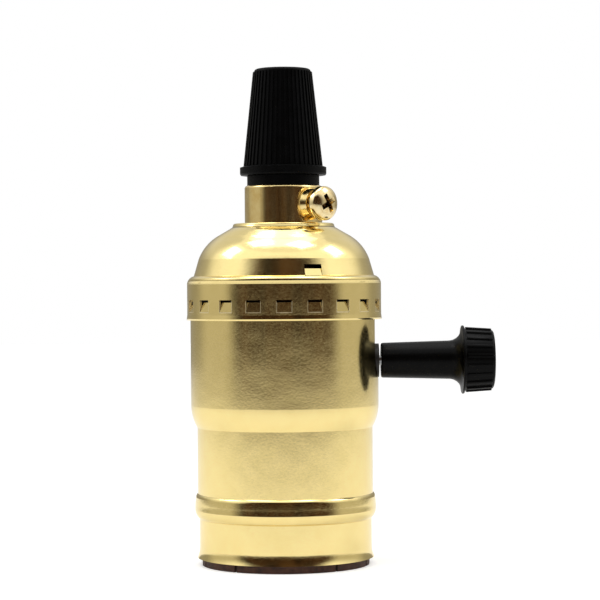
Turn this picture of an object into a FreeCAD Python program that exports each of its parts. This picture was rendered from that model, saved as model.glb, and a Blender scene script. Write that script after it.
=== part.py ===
import FreeCAD, Part
import os
import re
import Sketcher
from FreeCAD import Placement, Rotation, Vector

# Key-switch lamp holder with an E27 screw shell and a cord grip, in millimetres.
# The origin is on the axis in the plane of the open mouth, +Z points to the cord grip and the
# knob points along +X.  Azimuths are measured from -Y towards +X.

# name, value, what it is
SIZES = [
    # outer shell
    ("shell_wall", 0.4, "sheet of the outer shell"),
    ("shell_start", 1.45, "lower edge of the shell above the mouth plane"),
    ("lip_flare", 0.4, "how far the lip turns out"),
    ("lip_height", 1.9, "height of the flared lip"),
    ("bead_start", 8.8, "bead, lower edge"),
    ("bead_peak", 10.6, "bead, height of its widest place"),
    ("bead_shoulder", 12.9, "bead, start of its round shoulder"),
    ("bead_lean", 0.15, "how far the bead leans in below its shoulder"),
    ("bead_round", 1.0, "bead, radius of its shoulder"),
    ("bead_top", 13.6, "bead, upper crease"),
    ("bead_out", 0.85, "bead beyond the plain band"),
    ("waist_step", 0.3, "band between the bead and the shoulder, beyond the plain band"),
    ("shoulder_drop", 0.4, "shoulder, lower crease below the insulating disc"),
    ("shoulder_rise", 4.2, "height of the shoulder"),
    ("shell_step", 1.45, "wide part under the cap, beyond the plain band"),
    ("shell_rise", 6.2, "upper edge of the shell above the skirt's lower edge"),
    ("groove_depth", 0.9, "depth of the rolled groove that the cap snaps into"),
    ("groove_lead", 0.9, "rolled groove above and below the snap windows"),
    ("groove_ramp", 0.8, "height of each side of the rolled groove"),
    ("slot_half", 5.4, "key slot, half width and radius of its end"),
    ("slot_rise", 1.9, "key slot, centre of its round end above the key axis"),
    # fibre liner
    ("liner_gap", 0.1, "liner to the inside of the shell"),
    ("liner_wall", 0.8, "fibre of the liner"),
    ("liner_rise", 3.9, "upper edge of the liner above the insulating body"),
    ("liner_notch", 3.5, "half width of the liner's notch for the key"),
    ("slit_width", 0.5, "slits in the liner's lower edge"),
    ("slit_height", 3.2, "height of the slits"),
    ("slit_turn", 36, "azimuth between the slits"),
    # cap
    ("cap_wall", 0.45, "sheet of the cap"),
    ("cap_gap", 0.15, "skirt to the shell"),
    ("cap_drop", 0.1, "lower edge of the skirt below the top of the insulating body"),
    ("cap_flare", 0.12, "how far the skirt's lower edge turns out"),
    ("cap_flare_height", 1.0, "height of the turned-out edge"),
    ("skirt_height", 6.9, "height of the straight skirt"),
    ("dome_foot_in", 0.7, "foot of the dome, inside the shell's wide part"),
    ("dome_foot_rise", 1.4, "foot of the dome above the skirt"),
    ("skirt_round", 1.7, "rounding between skirt and dome"),
    ("dome_side_in", 1.6, "end of the dome's steep side, inside the wide part"),
    ("dome_side_rise", 3.1, "height of the dome's steep side"),
    ("dome_round", 8.5, "radius of the dome's turn"),
    ("dome_turn_in", 5.2, "end of the dome's turn, inside the wide part"),
    ("dome_turn_rise", 4.4, "height of the dome's turn"),
    ("dome_top_out", 0.15, "top of the dome's slope, beyond the crown"),
    ("dome_top_rise", 1.65, "height of the dome's slope"),
    ("crown_out", 2.25, "flat crown beyond the neck"),
    ("crown_round", 0.4, "rounding of the crown's rim"),
    ("crown_rise", 0.75, "crown above the dome's slope"),
    ("window_count", 20, "snap windows round the skirt"),
    ("window_width", 2.8, "snap window, width"),
    ("window_height", 2.3, "snap window, height"),
    ("window_rise", 2.65, "snap window, centre above the skirt's lower edge"),
    ("window_gap", 0.45, "open strip above each tab"),
    ("tab_bend", 0.8, "how far a tab leans in"),
    ("tab_root", 0.1, "how far a tab's root laps the sheet"),
    ("tab_play", 0.1, "tab narrower than its window"),
    ("vent_turn", 18.7, "azimuth of the first vent in the dome"),
    ("vent_width", 3.3, "vent, width"),
    ("vent_drop", 0.1, "vent, lower edge below the dome's foot"),
    ("vent_height", 2.1, "vent, height"),
    ("vent_gap", 0.8, "open strip above the vent's tab"),
    # neck
    ("neck_wall", 2.35, "wall of the neck round the grip's thread"),
    ("neck_height", 7.2, "height of the neck"),
    ("neck_round", 0.6, "rounding of the neck's rims"),
    ("neck_tenon_in", 1.25, "spigot through the crown, inside the neck's face"),
    ("neck_stake_in", 0.35, "staked rim under the crown, inside the neck's face"),
    ("neck_stake", 0.6, "thickness of the staked rim"),
    ("boss_r", 3.0, "root of the drawn boss for the clamp screw"),
    ("boss_tip_r", 2.6, "tip of the boss"),
    ("boss_reach", 1.15, "tip of the boss beyond the neck"),
    ("clamp_rise", 3.5, "clamp screw above the crown"),
    ("clamp_turn", 45, "azimuth of the clamp screw"),
    # clamp screw
    ("clamp_r", 1.8, "clamp screw, thread"),
    ("clamp_head_r", 3.2, "clamp screw, head"),
    ("clamp_head", 2.2, "clamp screw, height of its head"),
    ("clamp_out", 2.55, "underside of the head beyond the neck"),
    ("clamp_round", 3.6, "clamp screw, radius of the head's crown"),
    ("recess_width", 0.85, "cross recess, width of each arm"),
    ("recess_span", 3.6, "cross recess, span"),
    ("recess_depth", 1.4, "cross recess, depth"),
    # cord grip
    ("cable_r", 3.6, "passage for the cable"),
    ("grip_wall", 1.4, "wall of the grip's lower thread, in the neck"),
    ("grip_rise", 1.0, "lower end of the grip above the crown"),
    ("grip_chamfer", 0.4, "chamfers of the grip's threads"),
    ("collar_in", 0.5, "collar, inside the neck's face"),
    ("collar", 1.8, "height of the collar"),
    ("grip_screw_wall", 2.1, "wall of the upper thread, in the nut"),
    ("grip_screw", 8.4, "length of the upper thread"),
    ("jaw_wall", 1.3, "clamping jaws, wall"),
    ("jaw_straight", 5.0, "straight part of the jaws"),
    ("jaw_tip_wall", 0.7, "jaws, wall at the tip"),
    ("jaw_taper", 2.5, "tapered part of the jaws"),
    ("jaw_slot", 0.8, "slots between the jaws"),
    ("jaw_slot_count", 6, "number of slots"),
    # cord grip nut
    ("nut_gap", 0.12, "nut to the collar"),
    ("nut_flange_out", 0.85, "flange of the nut, beyond the neck"),
    ("nut_flange", 1.8, "height of the flange"),
    ("nut_edge", 0.3, "bevels of the flange"),
    ("nut_foot_wall", 1.6, "cone of the nut, wall at its lower end"),
    ("nut_head_wall", 1.8, "cone of the nut, wall at its upper end"),
    ("nut_rise", 4.4, "top of the nut above the jaws"),
    ("nut_step", 1.0, "length of the steps in the nut's bore"),
    ("nut_round", 0.6, "rounding of the top rim"),
    ("nut_seat_gap", 0.2, "nut to the jaws"),
    ("grip_rib_count", 46, "ribs on the nut"),
    ("grip_rib", 0.22, "height of the nut's ribs"),
    ("grip_rib_angle", 3.2, "width of each rib in degrees"),
    # key
    ("spindle_r", 1.6, "spindle of the key"),
    ("spindle_flat", 1.7, "spindle across its flats"),
    ("spindle_back", 8.0, "inner end of the spindle behind the axis"),
    ("spindle_socket", 8.4, "length of the spindle in the knob"),
    ("running_fit", 0.05, "radial play of what turns"),
    ("knob_gap", 0.5, "knob to the shell"),
    ("knob_stem_r", 3.3, "stem of the knob, inner end"),
    ("knob_waist_r", 3.65, "stem of the knob, outer end"),
    ("knob_waist", 13.3, "length of the stem"),
    ("knob_flare", 2.0, "hollow radius under the flange"),
    ("knob_flange_r", 6.5, "flange of the knob"),
    ("knob_flange", 0.4, "edge of the flange"),
    ("knob_head_r", 5.95, "head of the knob beside the flange"),
    ("knob_tip_r", 5.55, "head of the knob, outer end"),
    ("knob_head", 5.6, "length of the head"),
    ("knob_edge", 0.45, "rounding of the head's outer edge"),
    ("knob_crown", 0.35, "height of the domed end"),
    ("knob_rib_count", 20, "ribs on the head"),
    ("knob_rib", 0.28, "height of the ribs"),
    ("knob_rib_angle", 4.5, "width of each rib in degrees"),
    ("knob_rib_turn", 6, "angle of the first rib"),
    # switch
    ("cam_half", 3.0, "square cam, half width"),
    ("cam_round", 1.0, "rounded corners of the cam"),
    ("cam_start", -1.5, "inner face of the cam"),
    ("cam_end", 2.3, "where the cam meets the drum"),
    ("drum_r", 4.4, "drum of the rotor"),
    ("contact_x", 5.6, "plane of the contacts"),
    ("blade", 0.5, "thickness of the rotor's contact blade"),
    ("blade_r", 5.6, "reach of the contact blade"),
    ("blade_hub_r", 3.4, "hub of the contact blade"),
    ("blade_half_angle", 28, "half angle of each arm of the blade"),
    ("hub_r", 2.6, "boss that carries the blade"),
    ("hub_end", 6.4, "end of the boss"),
    ("contact_gap", 0.15, "blade to the fixed contacts"),
    ("contact_strip", 0.6, "strip of the fixed contacts"),
    ("contact_width", 2.7, "width of the fixed contacts"),
    ("clip_r", 2.8, "retaining clip, outside"),
    ("clip_groove_r", 1.15, "clip groove in the spindle"),
    ("clip_at", 7.5, "retaining clip, inner face"),
    ("clip", 0.5, "thickness of the clip"),
    ("clip_play", 0.05, "clip in its groove"),
    ("spring_strip", 0.3, "strip of the detent spring"),
    ("spring_half", 5.4, "half span of the detent spring"),
    ("spring_width", 3.2, "width of the detent spring"),
    ("spring_gap", 0.1, "spring to the cam"),
    # insulating body
    ("body_gap", 0.2, "body to the liner"),
    ("key_rise", 10.5, "key axis above the insulating disc"),
    ("key_boss_r", 3.2, "boss of the body round the spindle"),
    ("key_boss_out", 0.1, "boss beyond the shell"),
    ("disc_start", 26.4, "underside of the insulating disc"),
    ("disc", 1.6, "thickness of the insulating disc"),
    ("body_rise", 8.0, "upper face of the body above the key axis"),
    ("floor_drop", 7.5, "floor of the switch chamber below the key axis"),
    ("chamber_back", 6.5, "chamber behind the axis"),
    ("chamber_front", 8.5, "chamber in front of the axis"),
    ("chamber_round", 1.5, "rounded corners of the chamber"),
    ("cover", 0.8, "thickness of the cover"),
    ("cover_lap", 1.3, "cover over the chamber's ends"),
    ("cover_side_lap", 0.9, "cover over the chamber's sides"),
    ("ear_r", 2.6, "ears of the cover round its rivets"),
    # fasteners of the body
    ("rivet_edge", 2.69, "long rivets, inside the body's edge"),
    ("rivet_r", 1.1, "long rivets, shank"),
    ("rivet_head_r", 1.8, "rivet heads"),
    ("rivet_head", 0.5, "height of rivet heads"),
    ("rivet_play", 0.05, "rivet in its hole"),
    ("eyelet_edge", 4.55, "short rivets of the screw shell, inside the body's edge"),
    ("eyelet_r", 0.9, "short rivets, shank"),
    ("eyelet_head_r", 1.5, "short rivets, head"),
    ("recess_play", 0.2, "room round a sunk head"),
    # screw shell
    ("screw_start", 2.2, "mouth of the screw shell"),
    ("mouth_play", 0.175, "plain mouth beyond the thread's roots"),
    ("mouth_gap", 1.2, "screw shell to the liner"),
    ("mouth_length", 2.8, "plain mouth, length"),
    ("screw_wall", 0.4, "sheet of the screw shell"),
    ("thread_pitch", 3.629, "pitch of the E27 thread"),
    ("thread_depth", 1.095, "depth of the thread"),
    ("thread_major_r", 13.275, "roots of the thread"),
    ("thread_land", 0.03, "how much the inner crests are flattened"),
    ("thread_start", 3.4, "middle of the first groove"),
    ("thread_end_gap", 2.4, "middle of the last groove below the disc"),
    ("thread_lap", 0.1, "overlap of neighbouring turns"),
    ("thread_stop", 0.05, "wall left at the end of the groove"),
    ("screw_hole_play", 1.2, "hole round the centre contact, beyond its end"),
    # centre contact
    ("leaf", 0.5, "strip of the centre contact"),
    ("leaf_width", 4.6, "width of the centre contact"),
    ("leaf_back", 1.8, "centre contact behind its rivet"),
    ("leaf_bend", 3.2, "where the leaf leaves the disc"),
    ("leaf_nose_drop", 2.8, "underside of the nose below the disc"),
    ("leaf_nose_half", 1.1, "half width of the nose"),
    ("leaf_nose_round", 1.6, "rounding of the nose"),
    ("leaf_tip", 2.6, "free end beyond the axis"),
    ("leaf_tip_rise", 1.0, "rise of the free end"),
    ("centre_rivet_r", 1.0, "centre rivet, shank"),
    ("centre_head_r", 1.6, "centre rivet, heads"),
    # terminals
    ("terminal", 0.8, "plate of the terminals"),
    ("strap_width", 5.0, "width of the neutral strap"),
    ("strap_edge", 0.55, "outer face of the strap, inside the body's edge"),
    ("strap_foot", 1.9, "inner end of the strap's foot beyond its rivet"),
    ("strap_play", 0.1, "strap in its channel"),
    ("plate_in", 2.5, "terminal plates, inside their screws"),
    ("plate_out", 2.0, "terminal plates, outside their screws"),
    ("plate_half", 3.6, "half width of the neutral plate"),
    ("terminal_step", 3.15, "terminal screws beyond the cover's sides"),
    ("live_x", 1.0, "live screw along X"),
    ("terminal_screw_r", 1.5, "terminal screws, thread"),
    ("terminal_head_r", 2.6, "terminal screws, head"),
    ("terminal_head", 1.8, "terminal screws, height of the head"),
    ("terminal_round", 0.5, "rounding of the head"),
    ("terminal_screw", 3.2, "terminal screws below the plate"),
    ("screw_chamfer", 0.3, "chamfer at the end of the terminal screws"),
    ("past", 1.0, "how far a cutting outline runs past what it cuts"),
    ("driver_slot", 0.7, "slot in the head, width"),
    ("driver_depth", 0.8, "slot in the head, depth"),
]

NAMES = {name for name, value, note in SIZES}

# Lengths that follow from the sizes.  Across, the lamp's thread carries the shell, the cap and the
# body, and the cable carries the grip and the neck; up, each piece stands on the one below it.
FOLLOWING = {
    "thread_minor_r": "thread_major_r - thread_depth",
    "mouth_r": "thread_major_r + mouth_play",
    "liner_in_r": "mouth_r + screw_wall + mouth_gap",
    "liner_r": "liner_in_r + liner_wall",
    "body_r": "liner_in_r - body_gap",
    "band_r": "liner_r + liner_gap + shell_wall",
    "lip_r": "band_r + lip_flare",
    "bead_r": "band_r + bead_out",
    "waist_r": "band_r + waist_step",
    "shell_r": "band_r + shell_step",
    "groove_r": "shell_r - groove_depth",
    "skirt_r": "shell_r + cap_gap + cap_wall",
    "dome_foot_r": "shell_r - dome_foot_in",
    "dome_side_r": "shell_r - dome_side_in",
    "dome_turn_r": "shell_r - dome_turn_in",
    "rivet_offset": "(body_r - rivet_edge) / sqrt(2)",
    "eyelet_at": "body_r - eyelet_edge",
    "screw_hole_r": "contact_x + leaf_back + screw_hole_play",
    "strap_out": "body_r - strap_edge",
    "grip_thread_r": "cable_r + grip_wall",
    "grip_screw_r": "cable_r + grip_screw_wall",
    "jaw_r": "cable_r + jaw_wall",
    "jaw_tip_r": "cable_r + jaw_tip_wall",
    "neck_r": "grip_thread_r + neck_wall",
    "neck_tenon_r": "neck_r - neck_tenon_in",
    "neck_stake_r": "neck_r - neck_stake_in",
    "collar_r": "neck_r - collar_in",
    "crown_r": "neck_r + crown_out",
    "dome_top_r": "crown_r + dome_top_out",
    "boss_tip_at": "neck_r + boss_reach",
    "clamp_head_at": "neck_r + clamp_out",
    "nut_flange_r": "neck_r + nut_flange_out",
    "nut_foot_r": "grip_screw_r + nut_foot_wall",
    "nut_head_r": "cable_r + nut_head_wall",
    "thread_end": "disc_start - thread_end_gap",
    "leaf_nose_z": "disc_start - leaf_nose_drop",
    "disc_end": "disc_start + disc",
    "shoulder_start": "disc_start - shoulder_drop",
    "shoulder_end": "shoulder_start + shoulder_rise",
    "key_z": "disc_end + key_rise",
    "floor_z": "key_z - floor_drop",
    "slot_centre": "key_z + slot_rise",
    "body_end": "key_z + body_rise",
    "cover_end": "body_end + cover",
    "plate_end": "body_end + terminal",
    "liner_end": "body_end + liner_rise",
    "cap_start": "body_end - cap_drop",
    "shell_end": "cap_start + shell_rise",
    "window_low": "cap_start + window_rise - window_height / 2",
    "window_high": "window_low + window_height",
    "skirt_end": "cap_start + skirt_height",
    "dome_foot_z": "skirt_end + dome_foot_rise",
    "vent_low": "dome_foot_z - vent_drop",
    "vent_high": "vent_low + vent_height",
    "dome_side_z": "dome_foot_z + dome_side_rise",
    "dome_turn_z": "dome_side_z + dome_turn_rise",
    "dome_top_z": "dome_turn_z + dome_top_rise",
    "crown_z": "dome_top_z + crown_rise",
    "clamp_z": "crown_z + clamp_rise",
    "neck_end": "crown_z + neck_height",
    "grip_start": "crown_z + grip_rise",
    "collar_end": "neck_end + collar",
    "grip_screw_end": "collar_end + grip_screw",
    "jaw_taper_z": "grip_screw_end + jaw_straight",
    "jaw_end": "jaw_taper_z + jaw_taper",
    "nut_start": "collar_end + nut_gap",
    "nut_end": "jaw_end + nut_rise",
    "knob_start": "shell_r + knob_gap",
    "bore_r": "spindle_r + running_fit",
    "finger": "blade_r + contact_gap",
    "chamber_half": "finger + contact_strip",
    "cover_half": "chamber_half + cover_side_lap",
    "terminal_y": "cover_half + terminal_step",
}

document = FreeCAD.newDocument("lamp_holder")
sheet = document.addObject("Spreadsheet::Sheet", "Sizes")
for row, (name, value, note) in enumerate(SIZES, start=1):
    sheet.set(f"A{row}", note)
    sheet.set(f"B{row}", str(value))
    sheet.setAlias(f"B{row}", name)
document.recompute()


# The text of a formula with each size's name pointing at its cell, and each following length
# written out.
def bound(text):
    def cell(word):
        if word[0] in FOLLOWING:
            return "(" + bound(FOLLOWING[word[0]]) + ")"
        return "Sizes." + word[0] if word[0] in NAMES else word[0]

    return re.sub(r"[a-z_]+", cell, text)


def amount(text):
    return float(sheet.evalExpression(bound(text)))


def new_body(label):
    return document.addObject("PartDesign::Body", label)


def origin_feature(body, role):
    return [part for part in body.Origin.OriginFeatures if part.Role == role][0]


# Fixes one end of an edge at a formula's distance from the sketch's own axes.
def pin(sketch, edge, end, across, up):
    for kind, text, axis in (("DistanceX", across, -2), ("DistanceY", up, -1)):
        if abs(amount(text)) < 1e-9:
            sketch.addConstraint(Sketcher.Constraint("PointOnObject", edge, end, axis))
            continue
        index = sketch.addConstraint(Sketcher.Constraint(kind, -1, 1, edge, end, amount(text)))
        sketch.setExpression(f"Constraints[{index}]", bound(text))


# A closed outline.  A corner is (across, up) and runs straight to the next one, or
# (across, up, radius, side) and runs there as an arc that bulges to the left of the way
# for side 1 and to the right for side -1.
def outline(sketch, corners):
    first = sketch.GeometryCount
    starts = []
    ends = []
    for index, corner in enumerate(corners):
        following = corners[(index + 1) % len(corners)]
        start = Vector(amount(corner[0]), amount(corner[1]), 0)
        end = Vector(amount(following[0]), amount(following[1]), 0)
        if len(corner) == 2:
            sketch.addGeometry(Part.LineSegment(start, end))
            starts.append(1)
            ends.append(2)
            continue
        radius = amount(corner[2])
        side = corner[3]
        left = Vector(start.y - end.y, end.x - start.x, 0).normalize() * side
        half = start.distanceToPoint(end) / 2
        centre = (start + end) / 2 - left * (radius**2 - half**2) ** 0.5
        sketch.addGeometry(Part.Arc(start, centre + left * radius, end))
        # an arc's own start is the end from which it runs anticlockwise
        starts.append(2 if side > 0 else 1)
        ends.append(1 if side > 0 else 2)
    count = len(corners)
    for index, corner in enumerate(corners):
        edge = first + index
        following = (index + 1) % count
        joint = Sketcher.Constraint("Coincident", edge, ends[index], first + following, starts[following])
        sketch.addConstraint(joint)
        pin(sketch, edge, starts[index], corner[0], corner[1])
        if len(corner) == 4:
            arc = sketch.addConstraint(Sketcher.Constraint("Radius", edge, amount(corner[2])))
            sketch.setExpression(f"Constraints[{arc}]", bound(corner[2]))


def circle(sketch, across, up, radius):
    centre = Vector(amount(across), amount(up), 0)
    edge = sketch.addGeometry(Part.Circle(centre, Vector(0, 0, 1), amount(radius)))
    pin(sketch, edge, 3, across, up)
    size = sketch.addConstraint(Sketcher.Constraint("Radius", edge, amount(radius)))
    sketch.setExpression(f"Constraints[{size}]", bound(radius))


def rectangle(left, low, right, high):
    return [(left, low), (right, low), (right, high), (left, high)]


# A sketch on one of the body's own planes, made of closed outlines (lists of corners) and
# circles (across, up, radius).  slide and rise move its origin in the plane, lift moves it along
# its normal, and turn swings an upright plane, and what lift does, about the body's Z.
def draw(body, label, role, loops, slide="0", rise="0", lift="0", turn="0"):
    sketch = body.newObject("Sketcher::SketchObject", label)
    sketch.AttachmentSupport = [(origin_feature(body, role), "")]
    sketch.MapMode = "FlatFace"
    upright = role != "XY_Plane"
    if upright and turn != "0":
        slide = f"{slide} + ({lift}) * sin({turn})"
        lift = f"({lift}) * cos({turn})"
    swing = Rotation(Vector(0, 1, 0) if upright else Vector(0, 0, 1), amount(turn))
    sketch.AttachmentOffset = Placement(Vector(amount(slide), amount(rise), amount(lift)), swing)
    moves = {"Base.x": slide, "Base.y": rise, "Base.z": lift, "Rotation.Angle": turn}
    for name, text in moves.items():
        if text != "0":
            sketch.setExpression("AttachmentOffset." + name, bound(text))
    for loop in loops:
        if isinstance(loop, list):
            outline(sketch, loop)
        else:
            circle(sketch, *loop)
    document.recompute()
    return sketch


# Adds a feature to the body, makes it the tip and checks that it did its work.
def feature(body, kind, label, sketch, values, formulas):
    before = body.Shape.Volume if body.Tip else 0
    made = body.newObject("PartDesign::" + kind, label)
    if sketch:
        made.Profile = sketch
    for name, value in values.items():
        setattr(made, name, value)
    for name, text in formulas.items():
        made.setExpression(name, bound(text))
    body.Tip = made
    document.recompute()
    removes = kind in ("Pocket", "Groove", "SubtractiveHelix")
    change = body.Shape.Volume - before
    if removes and change > -1e-6 or kind in ("Pad", "Revolution", "AdditiveHelix") and change < 1e-6:
        raise RuntimeError(f"{body.Label}: {label} changes nothing")
    return made


def pad(body, label, sketch, length, side="One side", back=False):
    values = {"SideType": side, "Reversed": back}
    return feature(body, "Pad", label, sketch, values, {"Length": length})


# Cuts along the sketch's normal, or against it when back is set; with no length it goes right through.
def pocket(body, label, sketch, length=None, side="One side", back=False):
    values = {"SideType": side, "Reversed": not back}
    if length is None:
        values["Type"] = "ThroughAll"
        return feature(body, "Pocket", label, sketch, values, {})
    return feature(body, "Pocket", label, sketch, values, {"Length": length})


def revolve(body, label, sketch, axis="V_Axis"):
    return feature(body, "Revolution", label, sketch, {"ReferenceAxis": (sketch, [axis]), "Angle": 360}, {})


def groove(body, label, sketch, axis="V_Axis"):
    return feature(body, "Groove", label, sketch, {"ReferenceAxis": (sketch, [axis]), "Angle": 360}, {})


# A narrow sector of a turned outline, such as one rib.
def sector(body, label, sketch, angle):
    values = {"ReferenceAxis": (sketch, ["V_Axis"]), "Midplane": True}
    return feature(body, "Revolution", label, sketch, values, {"Angle": angle})


def helix(body, kind, label, sketch, height):
    values = {"ReferenceAxis": (sketch, ["V_Axis"]), "Mode": 0, "Growth": 0, "Angle": 0}
    return feature(body, kind, label, sketch, values, {"Pitch": "thread_pitch", "Height": height})


def around(body, label, originals, count):
    axis = (origin_feature(body, "Z_Axis"), [""])
    values = {"Originals": originals, "Axis": axis, "Angle": 360}
    return feature(body, "PolarPattern", label, None, values, {"Occurrences": count})


# Turns a body that is drawn along Z to point along +X at the height of the key.
def along_key(body, start="0"):
    body.Placement = Placement(Vector(amount(start), 0, amount("key_z")), Rotation(Vector(0, 1, 0), 90))
    if start != "0":
        body.setExpression("Placement.Base.x", bound(start))
    body.setExpression("Placement.Base.z", bound("key_z"))


# A round bar with two flats, its flats across the sketch's first axis.
def double_flat(radius, flat):
    half = f"({flat} / 2)"
    reach = f"sqrt({radius} ^ 2 - {half} ^ 2)"
    return [
        (half, f"-{reach}"),
        (half, reach, radius, -1),
        (f"-{half}", reach),
        (f"-{half}", f"-{reach}", radius, -1),
    ]


def rounded(left, low, right, high, radius):
    return [
        (f"{left} + {radius}", low),
        (f"{right} - {radius}", low, radius, -1),
        (right, f"{low} + {radius}"),
        (right, f"{high} - {radius}", radius, -1),
        (f"{right} - {radius}", high),
        (f"{left} + {radius}", high, radius, -1),
        (left, f"{high} - {radius}"),
        (left, f"{low} + {radius}", radius, -1),
    ]


# A slot that is open above, its lower end a half round.
def open_slot(half, centre, top):
    return [
        (half, top),
        (f"-{half}", top),
        (f"-{half}", centre, half, -1),
        ("0", f"{centre} - {half}", half, -1),
        (half, centre),
    ]


# Radius of the arc that is upright at one end and goes across and up by these amounts.
def upright_arc(across, up):
    return f"(({across} ^ 2 + {up} ^ 2) / (2 * {across}))"


# A wall of sheet: the outer outline going up, then the same line one wall further in, going down.
# A corner is (radius, height), or (radius, height, arc radius, side) as in outline.
def sheet_wall(corners, wall):
    inner = []
    for index in range(len(corners) - 1, -1, -1):
        radius, height = corners[index][:2]
        before = corners[index - 1] if index else ()
        arc = (before[2], -before[3]) if len(before) == 4 else ()
        inner.append((f"{radius} - {wall}", height) + arc)
    return corners + inner


# ---- covers ----


def shell():
    body = new_body("shell")
    corners = [
        ("lip_r", "shell_start", upright_arc("lip_flare", "lip_height"), 1),
        ("band_r", "shell_start + lip_height"),
        ("band_r", "bead_start", upright_arc("bead_out", "(bead_peak - bead_start)"), -1),
        ("bead_r", "bead_peak", upright_arc("bead_lean", "(bead_shoulder - bead_peak)"), -1),
        ("bead_r - bead_lean", "bead_shoulder", "bead_round", -1),
        ("waist_r", "bead_top"),
        ("waist_r", "shoulder_start", upright_arc("(shell_r - waist_r)", "shoulder_rise"), -1),
        ("shell_r", "shoulder_end"),
        ("shell_r", "window_low - groove_lead"),
        ("groove_r", "window_low - groove_lead + groove_ramp"),
        ("groove_r", "window_high + groove_lead - groove_ramp"),
        ("shell_r", "window_high + groove_lead"),
        ("shell_r", "shell_end"),
    ]
    section = draw(body, "shell_section", "XZ_Plane", [sheet_wall(corners, "shell_wall")])
    revolve(body, "shell_form", section)
    slot = open_slot("slot_half", "slot_centre", "shell_end + past")
    pocket(body, "key_slot", draw(body, "key_slot_outline", "YZ_Plane", [slot]))
    return body


def shell_liner():
    body = new_body("shell_liner")
    wall = rectangle("liner_in_r", "0", "liner_r", "liner_end")
    revolve(body, "liner_tube", draw(body, "liner_section", "XZ_Plane", [wall]))
    notch = open_slot("liner_notch", "key_z", "liner_end + past")
    pocket(body, "key_notch", draw(body, "key_notch_outline", "YZ_Plane", [notch]))
    slit = rectangle("-slit_width / 2", "-past", "slit_width / 2", "slit_height")
    cuts = []
    for place, turn in enumerate(("-2 * slit_turn", "-slit_turn", "slit_turn", "2 * slit_turn")):
        sketch = draw(body, f"slit_outline_{place}", "XZ_Plane", [slit], turn=turn)
        cuts.append(pocket(body, f"slit_{place}", sketch))
    around(body, "slits", cuts, "2")
    return body


# A window through the sheet and the tongue that is lanced out of it and leans inwards.
# The tongue stays joined along the window's lower edge.
def lanced(body, label, turn, width, low, high, opening, outside, bend, count):
    window = draw(
        body, label + "_outline", "XZ_Plane",
        [rectangle(f"-{width} / 2", low, f"{width} / 2", high)], turn=turn,
    )
    cut = pocket(body, label, window)
    top = f"{high} - {opening}"
    tongue = [
        (f"{outside} - cap_wall", f"{low} - tab_root"),
        (outside, f"{low} - tab_root"),
        (f"{outside} - tab_root / 2", low),
        (f"{outside} - {bend}", top),
        (f"{outside} - {bend} - cap_wall", top),
        (f"{outside} - cap_wall - tab_root / 2", low),
    ]
    side = draw(body, label + "_tongue_side", "XZ_Plane", [tongue], turn=f"{turn} - 90")
    bent = pad(body, label + "_tongue", side, f"{width} - tab_play", side="Symmetric")
    around(body, label + "_ring", [cut, bent], count)


def cap():
    body = new_body("cap")
    outer = [
        ("skirt_r + cap_flare", "cap_start"),
        ("skirt_r", "cap_start + cap_flare_height"),
        ("skirt_r", "skirt_end", "skirt_round", -1),
        ("dome_foot_r", "dome_foot_z"),
        ("dome_side_r", "dome_side_z", "dome_round", -1),
        ("dome_turn_r", "dome_turn_z"),
        ("dome_top_r", "dome_top_z"),
        ("crown_r", "crown_z - crown_round", "crown_round", -1),
        ("crown_r - crown_round", "crown_z"),
        ("neck_tenon_r", "crown_z"),
    ]
    inner = [
        ("neck_tenon_r", "crown_z - cap_wall"),
        ("crown_r - cap_wall / 2", "crown_z - cap_wall"),
        ("dome_top_r - cap_wall / 2", "dome_top_z - cap_wall"),
        ("dome_turn_r - cap_wall / 2", "dome_turn_z - cap_wall", "dome_round - cap_wall", 1),
        ("dome_side_r - cap_wall", "dome_side_z - cap_wall / 2"),
        ("dome_foot_r - cap_wall", "dome_foot_z - cap_wall / 2", "skirt_round - cap_wall / 2", 1),
        ("skirt_r - cap_wall", "skirt_end - cap_wall / 2"),
        ("skirt_r - cap_wall", "cap_start + cap_flare_height"),
        ("skirt_r + cap_flare - cap_wall", "cap_start"),
    ]
    revolve(body, "cap_form", draw(body, "cap_section", "XZ_Plane", [outer + inner]))
    lanced(body, "window", "0", "window_width", "window_low", "window_high", "window_gap",
           "skirt_r", "tab_bend", "window_count")
    lanced(body, "vent", "vent_turn", "vent_width", "vent_low", "vent_high", "vent_gap",
           "dome_foot_r", "tab_bend", "2")
    return body


# ---- neck and cord grip ----


def neck_bushing():
    body = new_body("neck_bushing")
    bore = "grip_thread_r + running_fit"
    corners = [
        (bore, "crown_z - cap_wall - neck_stake"),
        ("neck_stake_r - neck_stake / 2", "crown_z - cap_wall - neck_stake"),
        ("neck_stake_r", "crown_z - cap_wall"),
        ("neck_tenon_r", "crown_z - cap_wall"),
        ("neck_tenon_r", "crown_z"),
        ("neck_r", "crown_z"),
        ("neck_r", "neck_end - neck_round", "neck_round", -1),
        ("neck_r - neck_round", "neck_end"),
        (bore, "neck_end"),
    ]
    revolve(body, "neck_form", draw(body, "neck_section", "XZ_Plane", [corners]))
    boss = [
        ("neck_tenon_r", "0"),
        ("boss_tip_at", "0"),
        ("boss_tip_at", "boss_tip_r"),
        ("neck_r", "boss_r"),
        ("neck_tenon_r", "boss_r"),
    ]
    place = {"rise": "clamp_z", "turn": "clamp_turn - 90"}
    revolve(body, "boss", draw(body, "boss_section", "XZ_Plane", [boss], **place), "H_Axis")
    hole = rectangle("grip_thread_r / 2", "0", "boss_tip_at + past", "clamp_r + running_fit")
    groove(body, "clamp_hole", draw(body, "clamp_hole_section", "XZ_Plane", [hole], **place), "H_Axis")
    return body


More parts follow.
